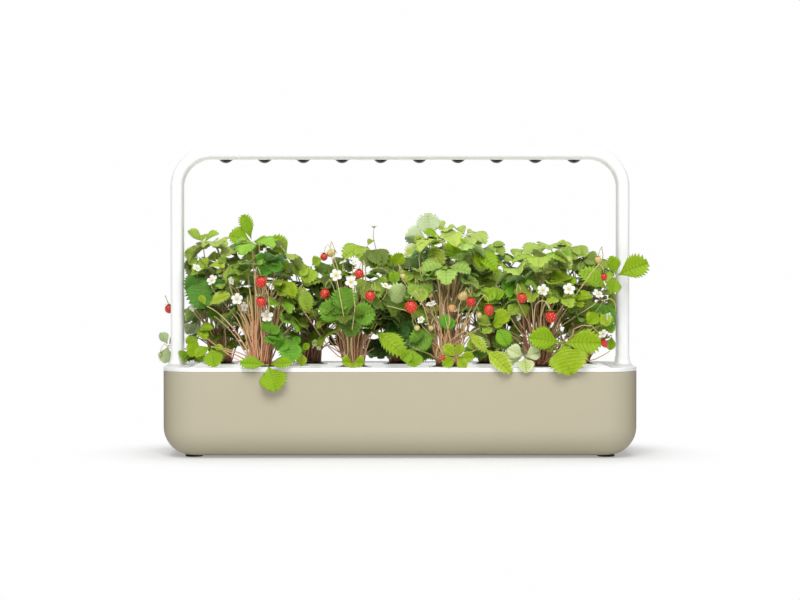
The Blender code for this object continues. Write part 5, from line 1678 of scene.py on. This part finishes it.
def pale_tint_and_sheen(point, draw, number):
    """How pale a leaf is: its plant's own paleness, and a painted sheen that is stronger near the top of
    the foliage.
    """
    share = (point.z - CROWN_Z) / PLANT_ROOM
    top_sheen = max(0.0, min(1.0, (share - 0.45) * 1.6))
    return top_sheen * draw.uniform(0.1, 1.0) + PLANT_PALE[number] * draw.uniform(0.5, 1.5)


def clear_of_leg(point):
    """A point moved out of the way of the leg of the arch beside it, in front of or behind it."""
    beside = abs(abs(point.x) - LEG_X) < sizes().leg_width / 2 + LEG_CLEARANCE
    if beside and abs(point.y) < ARCH_HIGH.y + LEG_CLEARANCE:
        point.y = math.copysign(ARCH_HIGH.y + LEG_CLEARANCE, point.y or -1)
    return point


def key_leaves(number):
    draw = random.Random(600 + number)
    for row in LEAVES:
        hub = seen(row.across, row.down, row.depth)
        if nearest_pod(hub) == number:
            tips = []
            for across, down, near, *width in row.tips:
                tip = clear_of_leg(seen(across, down, row.depth - near))
                tips.append(Tip(tip, *(width or [row.width])))
            pale = pale_tint_and_sheen(hub, draw, number) if row.cool < 0.3 and row.tone < 0.7 else 0
            tone = row.tone + PLANT_TONE_AND_SHADE[number] if row.tone < 0.6 else row.tone
            yield Grown(hub, tips, facing(row.face), tone, row.cool, pale, True)


def kept_inside(point, hub, number):
    """A tip, drawn straight towards its leaf's middle as far as its plant's room asks."""
    place = POD_PLACES[number]
    share = 1
    for other in POD_PLACES.values():
        away = (other - place).to_2d()
        if away.length > 0:
            reach = away.length / 2 + away.normalized().dot(place.to_2d())
            start = away.normalized().dot(hub.to_2d())
            run = away.normalized().dot(point.to_2d()) - start
            if run > reach - start:
                share = min(share, (reach - start) / run)
    return hub + (point - hub) * share


def spiral_leaves(number):
    """The large leaves that stand round the crown in a spiral, the highest in the middle."""
    draw = random.Random(500 + number)
    place = POD_PLACES[number]
    top = PLANT_ROOM * PLANT_HEIGHT_SHARES[number - 1]
    for index in range(SPIRAL_LEAVES):
        far = index / (SPIRAL_LEAVES - 1)
        turn = math.radians(PLANT_TURNS_DEG[number - 1] + LEAF_SPIRAL_DEG * index)
        reach = LEAF_NEAR_SHARE + (LEAF_FAR_SHARE - LEAF_NEAR_SHARE) * math.sqrt(far)
        height = 1 - (1 - LEAF_LOWEST_SHARE) * far
        tilt = math.radians(LEAF_TILT_DEG + LEAF_TILT_GAIN_DEG * far)
        heading = Vector((math.cos(turn), math.sin(turn), 0))
        out = Vector((reach * heading.x * POD_STEP.x, reach * heading.y * POD_STEP.y, height * top))
        hub = Vector((place.x, place.y, CROWN_Z)) + out
        hub.z = min(hub.z, canopy_top(hub.x, hub.y) - SPIRAL_UNDER)
        ahead = heading * math.cos(tilt) - UP * math.sin(tilt)
        across = Vector((-heading.y, heading.x, 0))
        face = ahead.cross(across)
        tips = []
        length = LEAF_LENGTH * draw.uniform(0.7, 0.9)
        for spread in (-LOBE_SPREAD_DEG, 0, LOBE_SPREAD_DEG):
            angle = math.radians(spread)
            along = ahead * math.cos(angle) + across * math.sin(angle)
            tip = kept_inside(hub + (along - face * LEAF_DROOP_SHARE) * length, hub, number)
            tip.z = min(tip.z, canopy_top(tip.x, tip.y) - SPIRAL_TIP_UNDER)
            tips.append(Tip(clear_of_leg(tip), 0.8))
        # Lower leaves of the spiral get a darker tone, a painted shade
        tone = 0.30 + 0.24 * height + draw.uniform(-0.1, 0.14) + PLANT_TONE_AND_SHADE[number]
        yield Grown(hub, tips, face, tone, draw.uniform(-0.3, 0.5), pale_tint_and_sheen(hub, draw, number), False)


def inner_leaves(number):
    """Leaves that fill the foliage of one plant on all sides of its crown."""
    draw = random.Random(number)
    place = POD_PLACES[number]
    count = plant_sizes().fillers
    for index in range(count):
        turn = index * INNER_TURN + draw.uniform(-0.4, 0.4)
        reach = math.sqrt((index + 0.5) / count)
        x = place.x + INNER_REACH[0] * reach * math.cos(turn)
        y = place.y * 0.95 + INNER_REACH[1] * reach * math.sin(turn)
        top = canopy_top(x, y) - INNER_UNDER
        room = top - CROWN_Z
        height = CROWN_Z + room * (1 - 0.62 * reach * draw.uniform(0.5, 1.0))
        if index % 3 == 2:
            height = CROWN_Z + room * draw.uniform(0.12, 0.55)
        hub = Vector((x, y, height))
        heading = Vector((math.cos(turn), math.sin(turn), 0))
        pitch = math.radians(draw.uniform(-10, 26) - 50 * reach)
        ahead = heading * math.cos(pitch) + UP * math.sin(pitch)
        face = UP * math.cos(pitch) - heading * math.sin(pitch)
        face += Vector((draw.uniform(-0.3, 0.3), draw.uniform(-0.3, 0.3), 0))
        side = ahead.cross(face).normalized()
        length = plant_sizes().filler_length * draw.uniform(0.75, 1.1)
        tips = []
        for spread in (-INNER_SPREAD_DEG, 0, INNER_SPREAD_DEG):
            angle = math.radians(spread + draw.uniform(-8, 8))
            out = ahead * math.cos(angle) + side * math.sin(angle)
            tip = hub + out * length * (1 if spread == 0 else 0.9)
            tip = kept_inside(tip, hub, number)
            limit_x, limit_y = INNER_LIMITS
            tip.x = max(-limit_x, min(limit_x, tip.x))
            tip.y = max(-limit_y, min(limit_y, tip.y))
            highest = canopy_top(tip.x, tip.y) - INNER_TIP_UNDER
            tip.z = max(CROWN_Z + INNER_TIP_OVER, min(highest, tip.z))
            tips.append(Tip(tip, draw.uniform(0.72, 0.9)))
        # Painted shade: leaves low in the foliage get a darker tone
        tone = 0.26 + 0.3 * (height - CROWN_Z) / INNER_SHADE_HEIGHT
        tone = tone + draw.uniform(-0.16, 0.16) + PLANT_TONE_AND_SHADE[number]
        pale = pale_tint_and_sheen(hub, draw, number)
        yield Grown(hub, tips, face, max(0.05, tone), draw.uniform(-0.3, 0.5), pale, False)


def pixel(point):
    """The pixel of the photograph at which a point shows."""
    share = (CAMERA_BACK + point.y) / FOCAL_PX
    return point.x / share + MIDDLE_PX[0], HORIZON_PX - (point.z - CAMERA_HEIGHT) / share


def hides_stalks(leaf):
    """Whether a leaf stands in front of a bundle of stalks that shows in the photograph."""
    for tip in leaf.tips:
        for share in STALK_PROBES:
            point = leaf.hub.lerp(tip.point, share)
            across, down = pixel(point)
            for left, top, right, low in STALKS_PX:
                if point.y < STALKS_DEPTH and left < across < right and top < down < low:
                    return True
    return False


def hides_fruit(leaf):
    """Whether a leaf stands in front of a berry or a flower."""
    for fruit in (*BERRIES, *FLOWERS):
        centre = seen(fruit.across, fruit.down, fruit.depth)
        for tip in leaf.tips:
            for share in FRUIT_PROBES:
                off = leaf.hub.lerp(tip.point, share) - centre
                if off.y < FRUIT_AHEAD and math.hypot(off.x, off.z) < fruit.radius + FRUIT_ROOM:
                    return True
    return False


def leaves_of(number):
    fillers = [*spiral_leaves(number), *inner_leaves(number)]
    fillers = [leaf for leaf in fillers if not hides_fruit(leaf) and not hides_stalks(leaf)]
    return [*key_leaves(number), *fillers]


def thicken(piece, thickness, under):
    """Thicken a piece's blades downward, with a finish of their own underneath."""
    solid = piece.modifiers.new("thickness", "SOLIDIFY")
    solid.thickness = thickness
    solid.offset = -1
    solid.use_even_offset = False
    solid.material_offset = under


class GARDEN_OT_leaves(bpy.types.Operator):
    """Makes the leaves of the nine plants"""

    bl_idname = "garden.leaves"
    bl_label = "Leaves"

    # Rows and columns of a blade, and how deep its pleats are
    fine_grid = (18, 6)
    plain_grid = (12, 4)
    pleat = 0.03

    def execute(self, context):
        fine, plain = grid_template(*self.fine_grid), grid_template(*self.plain_grid)
        for number in PLANTS:
            draw = random.Random(200 + number)
            sheaf = Sheaf()
            for leaf in leaves_of(number):
                for tip in leaf.tips:
                    fold = draw.uniform(0.2, 0.6)
                    bow = draw.uniform(0.03, 0.13)
                    tone = leaf.tone + draw.uniform(-0.05, 0.05)
                    gap = (tip.point - leaf.hub).normalized() * BLADE_SHORT
                    add_blade(
                        sheaf, fine if leaf.key else plain, leaf.hub + gap, tip.point, leaf.face, tip.width,
                        LEAFLET, fold, bow, pleat=self.pleat, tone=tone, cool=leaf.cool, pale=leaf.pale,
                    )
            piece = finished(
                f"leaves_{number}", sheaf.bm, f"pod_{number}", [leaf_top(), leaf_under()],
                [f"plant_{number}"], sharp=SOFT_SHARP,
            )
            thicken(piece, plant_sizes().leaf_thickness, 1)
        return {"FINISHED"}


class GARDEN_OT_stalks(bpy.types.Operator):
    """Makes the stalks of the leaves, berries and flowers, and the bundle at each crown"""

    bl_idname = "garden.stalks"
    bl_label = "Stalks"

    tube_sides = 5
    tube_rings = 9
    # How far a bundle's stalks rise, how far a fruit's stalk strays sideways, and how far back and up it
    # arches over the fruit
    bundle_rise = (0.04, 0.1)
    fruit_stray = 0.009
    fruit_arch = (0.004, 0.012)

    def execute(self, context):
        tube = tube_template(self.tube_sides, self.tube_rings)
        for number in PLANTS:
            draw = random.Random(300 + number)
            sheaf = Sheaf()
            self.add_leaf_stalks(sheaf, tube, number, draw)
            self.add_bundle(sheaf, tube, number, draw)
            for end, droop in hanging_of(number):
                self.add_fruit_stalk(sheaf, tube, number, end, droop, draw)
            self.add_runners(sheaf, tube, number, draw)
            finished(
                f"stalks_{number}", sheaf.bm, f"pod_{number}", [stalk_skin()], sharp=SOFT_SHARP
            )
        return {"FINISHED"}

    def add_leaf_stalks(self, sheaf, tube, number, draw):
        radius = plant_sizes().stalk_radius
        for leaf in leaves_of(number):
            root = crown_point(number, draw)
            route = stalk_route(root, leaf.hub - leaf.face.normalized() * STALK_SHORT, draw)
            flush = STALK_FLUSH[number] * draw.uniform(0.8, 1.1)
            tone = STALK_TONE[number] * draw.uniform(0.6, 1.4)
            add_stalk(sheaf, tube, route, radius * draw.uniform(0.8, 1.15), radius * 0.6, flush, 0.15, tone)

    def add_bundle(self, sheaf, tube, number, draw):
        """Stalks that fan out from the crown and end inside the foliage."""
        radius = plant_sizes().stalk_radius
        for _ in range(plant_sizes().bundle):
            root = crown_point(number, draw)
            place = POD_PLACES[number]
            lean = draw.uniform(0.5, 1.9)
            out = Vector((root.x - place.x, root.y - place.y, 0)) * lean
            end = root + out + UP * draw.uniform(*self.bundle_rise)
            flush = STALK_FLUSH[number] * draw.uniform(0.6, 1.2)
            tone = STALK_TONE[number] * draw.uniform(0.4, 1.5)
            route = stalk_route(root, end, draw, 0.4)
            add_stalk(sheaf, tube, route, radius * draw.uniform(0.75, 1.1), radius * 0.7, flush, 0.5, tone)

    def add_runners(self, sheaf, tube, number, draw):
        radius = plant_sizes().stalk_radius * 0.75
        for runner in RUNNERS:
            route = [seen(*point) for point in runner.points]
            if nearest_pod(route[0]) == number:
                route.insert(0, crown_point(number, draw))
                add_stalk(
                    sheaf, tube, route, radius, radius * 0.7, runner.red + 0.2, runner.red, runner.bright
                )

    def add_fruit_stalk(self, sheaf, tube, number, end, droop, draw):
        """A thin pale stalk that arches over before the berry or flower it carries."""
        radius = plant_sizes().stalk_radius * 0.62
        root = crown_point(number, draw, 0.7)
        reach = end - root
        sideways = draw.choice((-1, 1)) * self.fruit_stray
        top = end + Vector((sideways * 0.6, *self.fruit_arch)) * droop
        start_bow = root + Vector((reach.x * 0.35, reach.y * 0.4, reach.z * 0.5))
        across = reach.x * 0.8 + sideways if droop else reach.x * 0.98
        rise = root + Vector((across, reach.y * 0.8, reach.z * 0.88))
        route = [root, start_bow, rise, top, end] if droop else [root, start_bow, rise, end]
        add_stalk(sheaf, tube, route, radius * 1.3, radius * 0.75, 0.6, 0.05, 0.9)


def berry_axis(berry):
    """Direction from a berry's tip to its calyx."""
    lean = math.radians(berry.lean)
    return Vector((math.sin(lean), 0, math.cos(lean)))


def flower_axis(flower):
    turn, rise = math.radians(flower.turn), math.radians(flower.rise)
    return Vector((math.sin(turn) * math.cos(rise), -math.cos(turn) * math.cos(rise), math.sin(rise)))


def rows_of(table, number):
    """The rows of a table that hang on one plant, each with its middle."""
    places = [(row, seen(row.across, row.down, row.depth)) for row in table]
    return [(row, centre) for row, centre in places if nearest_pod(centre) == number]


def hanging_of(number):
    """Ends of the thin stalks of one plant, each with how much it arches over."""
    ends = []
    for berry, centre in rows_of(BERRIES, number):
        ends.append((centre + berry_axis(berry) * berry.radius * berry.stretch, 1.0))
    for flower, centre in rows_of(FLOWERS, number):
        ends.append((centre - flower_axis(flower) * flower.radius * 0.12, 0.0))
    dry = seen(*DRY_FLOWER_PX, DRY_FLOWER_DEPTH)
    if nearest_pod(dry) == number:
        ends.append((dry, 0.0))
    return ends


def directions_round(axis, count, start=0.0):
    """Even directions square to an axis."""
    first = axis.orthogonal().normalized()
    second = axis.cross(first)
    for index in range(count):
        turn = start + math.tau * index / count
        yield first * math.cos(turn) + second * math.sin(turn)


class GARDEN_OT_flowers(bpy.types.Operator):
    """Makes the flowers' petals and middles"""

    bl_idname = "garden.flowers"
    bl_label = "Flowers"

    petals = 5
    eye_share = 0.24
    stamens = 14

    def execute(self, context):
        blade = grid_template(6, 4)
        ball, grain = ball_template(2), ball_template(1)
        for number in PLANTS:
            flowers = rows_of(FLOWERS, number)
            if not flowers:
                continue
            draw = random.Random(400 + number)
            petals, eyes = Sheaf(), Sheaf()
            for flower, centre in flowers:
                self.add_petals(petals, blade, flower, centre, draw)
                self.add_eye(eyes, ball, grain, flower, centre)
            body = f"pod_{number}"
            piece = finished(f"petals_{number}", petals.bm, body, [petal_skin()], sharp=SOFT_SHARP)
            thicken(piece, plant_sizes().petal_thickness, 0)
            finished(f"flower_eyes_{number}", eyes.bm, body, [pollen()], sharp=SOFT_SHARP)
        return {"FINISHED"}

    def add_petals(self, sheaf, blade, flower, centre, draw):
        axis = flower_axis(flower)
        for out in directions_round(axis, self.petals, draw.uniform(0, math.tau)):
            base = centre + out * flower.radius * 0.14
            tip = centre + out * flower.radius + axis * flower.radius * draw.uniform(0.0, 0.22)
            tip = base + (tip - base) * plant_sizes().petal_length
            add_blade(sheaf, blade, base, tip, axis, 0.92, PETAL, 0.12, -0.1 + draw.uniform(0, 0.06))

    def add_eye(self, sheaf, ball, grain, flower, centre):
        axis = flower_axis(flower)
        turn = axis.to_track_quat("Z", "Y").to_matrix()
        radius = flower.radius * self.eye_share
        for vert in sheaf.add(ball):
            vert.co = centre + turn @ Vector((vert.co.x, vert.co.y, vert.co.z * 0.6)) * radius
        for index in range(self.stamens):
            angle = math.tau * index / self.stamens
            out = Vector((math.cos(angle), math.sin(angle), 0.55)) * radius * 1.45
            for vert in sheaf.add(grain):
                vert.co = centre + turn @ (out + vert.co * radius * 0.2)


class GARDEN_OT_berries(bpy.types.Operator):
    """Makes the berries with their seeds"""

    bl_idname = "garden.berries"
    bl_label = "Berries"

    # The turn from one seed to the next round a berry, half a seed's width and length as shares of the
    # berry's radius, and how deep each seed sits
    seed_turn = 2.39996
    seed_shape = (0.055, 0.085)
    seed_depth = 0.985

    def execute(self, context):
        flesh, grain = ball_template(3), ball_template(1)
        for number in PLANTS:
            berries = rows_of(BERRIES, number)
            if not berries:
                continue
            sheaf = Sheaf()
            for berry, centre in berries:
                self.add_berry(sheaf, flesh, grain, berry, centre)
            materials = [berry_skin(), seed_husk()]
            finished(f"berries_{number}", sheaf.bm, f"pod_{number}", materials, sharp=SOFT_SHARP)
        return {"FINISHED"}

    @staticmethod
    def on_berry(unit, berry):
        """A point of a unit ball moved to the berry's tapered form, calyx up."""
        taper = 0.98 + 0.08 * unit.z
        return Vector((unit.x * taper, unit.y * taper, unit.z * berry.stretch)) * berry.radius

    def add_berry(self, sheaf, flesh, grain, berry, centre):
        turn = berry_axis(berry).to_track_quat("Z", "Y").to_matrix()
        count = plant_sizes().seeds
        seeds = []
        for index in range(count):
            z = 0.9 - 1.85 * (index + 0.5) / count
            angle = index * self.seed_turn
            flat = math.sqrt(max(0.0, 1 - z * z))
            seeds.append(Vector((flat * math.cos(angle), flat * math.sin(angle), z)))
        verts = sheaf.add(flesh)
        for vert in verts:
            unit = vert.co.normalized()
            nearest = max(unit.dot(seed) for seed in seeds)
            dimple = 1 - 0.07 * max(0.0, (nearest - 0.965) / 0.035) ** 1.5
            vert.co = centre + turn @ self.on_berry(unit * dimple, berry)
        sheaf.paint(verts, ripe=berry.ripe)
        for seed in seeds:
            middle = self.on_berry(seed * self.seed_depth, berry)
            wide, long = self.seed_shape
            for vert in sheaf.add(grain, 1):
                shape = Vector((vert.co.x * wide, vert.co.y * wide, vert.co.z * long)) * berry.radius
                vert.co = centre + turn @ (middle + shape)


class GARDEN_OT_sepals(bpy.types.Operator):
    """Makes the green calyx of each berry and flower"""

    bl_idname = "garden.sepals"
    bl_label = "Sepals"

    def execute(self, context):
        blade = grid_template(4, 2)
        for number in PLANTS:
            sheaf = Sheaf()
            for berry, centre in rows_of(BERRIES, number):
                top = centre + berry_axis(berry) * berry.radius * berry.stretch * 0.94
                self.add_ring(sheaf, blade, top, berry_axis(berry), berry.radius * 1.05, 7, 0.12, 0.62)
            for flower, centre in rows_of(FLOWERS, number):
                axis = flower_axis(flower)
                back = centre - axis * flower.radius * 0.1
                self.add_ring(sheaf, blade, back, axis, flower.radius * 0.66, 5, -0.1, 0.55)
            dry = seen(*DRY_FLOWER_PX, DRY_FLOWER_DEPTH)
            if nearest_pod(dry) == number:
                self.add_ring(sheaf, blade, dry, UP, DRY_FLOWER_REACH, 6, 0.5, 0.96)
            if not sheaf.bm.faces:
                sheaf.bm.free()
                continue
            piece = finished(
                f"sepals_{number}", sheaf.bm, f"pod_{number}", [leaf_top(), leaf_under()],
                sharp=SOFT_SHARP,
            )
            thicken(piece, plant_sizes().petal_thickness, 1)
        return {"FINISHED"}

    @staticmethod
    def add_ring(sheaf, blade, centre, axis, reach, count, lift, tone):
        for out in directions_round(axis, count):
            tip = centre + out * reach + axis * reach * lift
            base = centre + out * reach * 0.05
            add_blade(sheaf, blade, base, tip, axis, 0.5, SEPAL, 0.2, 0.08, tone=tone)


# Floor, light and camera


def area_light(name, place, target, size, power):
    data = bpy.data.lights.new(name, "AREA")
    data.shape = "RECTANGLE"
    data.size, data.size_y = size
    data.energy = power
    light = placed(name, data)
    light.location = place
    light.rotation_euler = (Vector(target) - Vector(place)).to_track_quat("-Z", "Y").to_euler()


def seen_or_mirrored(tree):
    """One for a ray that shows or mirrors the stage, and zero for one that lights the object."""
    path = add_node(tree, "ShaderNodeLightPath")
    shown = math_node(tree, "MAXIMUM", path.outputs["Is Camera Ray"], path.outputs["Is Glossy Ray"])
    return math_node(tree, "MAXIMUM", shown, path.outputs["Is Transmission Ray"])


def mix_shaders(tree, share, first, second, output):
    """Mix two shaders into the surface of an output node."""
    mix = add_node(tree, "ShaderNodeMixShader")
    for value, socket in zip((share, first.outputs[0], second.outputs[0]), mix.inputs):
        tree.links.new(value, socket)
    tree.links.new(mix.outputs[0], tree.nodes[output].inputs["Surface"])


class GARDEN_OT_stage(bpy.types.Operator):
    """Makes the plain pale floor, the soft studio light and the camera"""

    bl_idname = "garden.stage"
    bl_label = "Stage"

    floor_size = 6.0
    oval = (1, 1.7, 1)
    fade_start = 0.26
    fade_end = 0.44
    shadow_lift = 0.32
    front_glow = 0.36
    backdrop_white = 0.995
    # Each light's name, place, target, size and power
    lights = (
        ("key_light", (-0.2, -1.7, 1.7), (0, 0, 0.15), (1.3, 1.2), 37),
        ("top_light", (0, 0.1, 1.9), (0, 0, 0.2), (1.6, 1.2), 15),
        ("fill_light", (1.5, -1.4, 0.8), (0, 0, 0.2), (0.9, 0.9), 3),
    )

    def execute(self, context):
        self.make_camera()
        self.make_floor()
        self.make_world()
        for light in self.lights:
            area_light(*light)
        context.scene.view_settings.view_transform = "Standard"
        return {"FINISHED"}

    def make_camera(self):
        data = bpy.data.cameras.new("camera")
        data.sensor_width = SENSOR_WIDTH * 1000
        data.lens = FOCAL_PX / PICTURE_WIDTH_PX * data.sensor_width
        camera = placed("camera", data)
        camera.location = (0, -CAMERA_BACK, CAMERA_HEIGHT)
        tilt = math.atan((MIDDLE_PX[1] - HORIZON_PX) / FOCAL_PX)
        camera.rotation_euler = (math.radians(90) - tilt, 0, 0)
        bpy.context.scene.camera = camera

    def make_floor(self):
        bm = bmesh.new()
        bmesh.ops.create_grid(bm, x_segments=1, y_segments=1, size=self.floor_size)
        floor = placed("floor", mesh_of(bm, "floor"))
        floor.data.materials.append(self.floor_material())

    def floor_material(self):
        """Pale matt floor that turns into the white backdrop away from the object."""
        material, tree, shader = new_material("Pale floor", roughness=0.9, Specular_IOR_Level=0)
        set_inputs(shader, Base_Color=(*colours().floor, 1))
        oval = add_node(tree, "ShaderNodeVectorMath", operation="MULTIPLY")
        oval.inputs[1].default_value = self.oval
        tree.links.new(object_place(tree), oval.inputs[0])
        away = add_node(tree, "ShaderNodeVectorMath", operation="LENGTH")
        tree.links.new(oval.outputs[0], away.inputs[0])
        fade = add_node(tree, "ShaderNodeMapRange", interpolation_type="SMOOTHSTEP")
        set_inputs(fade, From_Min=self.fade_start, From_Max=self.fade_end)
        tree.links.new(away.outputs["Value"], fade.inputs["Value"])
        lifted = math_node(tree, "MAXIMUM", fade.outputs["Result"], self.shadow_lift)
        share = math_node(tree, "MULTIPLY", lifted, seen_or_mirrored(tree))
        white = add_node(tree, "ShaderNodeEmission")
        set_inputs(white, Color=WHITE, Strength=self.backdrop_white)
        mix_shaders(tree, share, shader, white, "Material Output")
        return material

    def make_world(self):
        """White where it is seen, and a soft glow from the front and back where it lights the object."""
        world = bpy.data.worlds.new("studio")
        bpy.context.scene.world = world
        world.use_nodes = True
        tree = world.node_tree
        glow = tree.nodes["Background"]
        set_inputs(glow, Color=WHITE)
        ahead = add_node(tree, "ShaderNodeSeparateXYZ")
        tree.links.new(add_node(tree, "ShaderNodeTexCoord").outputs["Generated"], ahead.inputs[0])
        sideways = math_node(tree, "POWER", math_node(tree, "ABSOLUTE", ahead.outputs["X"]), 2)
        dimmed = math_node(tree, "MULTIPLY", sideways, self.front_glow)
        tree.links.new(math_node(tree, "SUBTRACT", self.front_glow, dimmed), glow.inputs["Strength"])
        white = add_node(tree, "ShaderNodeBackground")
        set_inputs(white, Color=WHITE, Strength=self.backdrop_white)
        mix_shaders(tree, seen_or_mirrored(tree), glow, white, "World Output")


OPERATORS = (
    GARDEN_OT_stage,
    GARDEN_OT_tank,
    GARDEN_OT_tray,
    GARDEN_OT_arch,
    GARDEN_OT_lights,
    GARDEN_OT_float,
    GARDEN_OT_cups,
    GARDEN_OT_inner_parts,
    GARDEN_OT_leaves,
    GARDEN_OT_stalks,
    GARDEN_OT_flowers,
    GARDEN_OT_berries,
    GARDEN_OT_sepals,
)


class GARDEN_PT_panel(bpy.types.Panel):
    """Sizes, colours and operators of the countertop garden"""

    bl_idname = "GARDEN_PT_panel"
    bl_label = "Countertop Garden"
    bl_space_type = "VIEW_3D"
    bl_region_type = "UI"
    bl_category = "Garden"

    def draw(self, context):
        layout = self.layout
        for operator in OPERATORS:
            layout.operator(operator.bl_idname)
        for group in (sizes(), plant_sizes(), colours()):
            box = layout.box()
            for name in group.__annotations__:
                box.prop(group, name)


CLASSES = (GardenSizes, PlantSizes, GardenColours, *OPERATORS, GARDEN_PT_panel)


def register():
    for cls in CLASSES:
        bpy.utils.register_class(cls)
    bpy.types.Scene.garden_sizes = bpy.props.PointerProperty(type=GardenSizes)
    bpy.types.Scene.garden_plants = bpy.props.PointerProperty(type=PlantSizes)
    bpy.types.Scene.garden_colours = bpy.props.PointerProperty(type=GardenColours)


def unregister():
    del bpy.types.Scene.garden_colours
    del bpy.types.Scene.garden_plants
    del bpy.types.Scene.garden_sizes
    for cls in reversed(CLASSES):
        bpy.utils.unregister_class(cls)


def main():
    register()
    for operator in OPERATORS:
        group, name = operator.bl_idname.split(".")
        getattr(getattr(bpy.ops, group), name)()


if __name__ == "__main__":
    main()
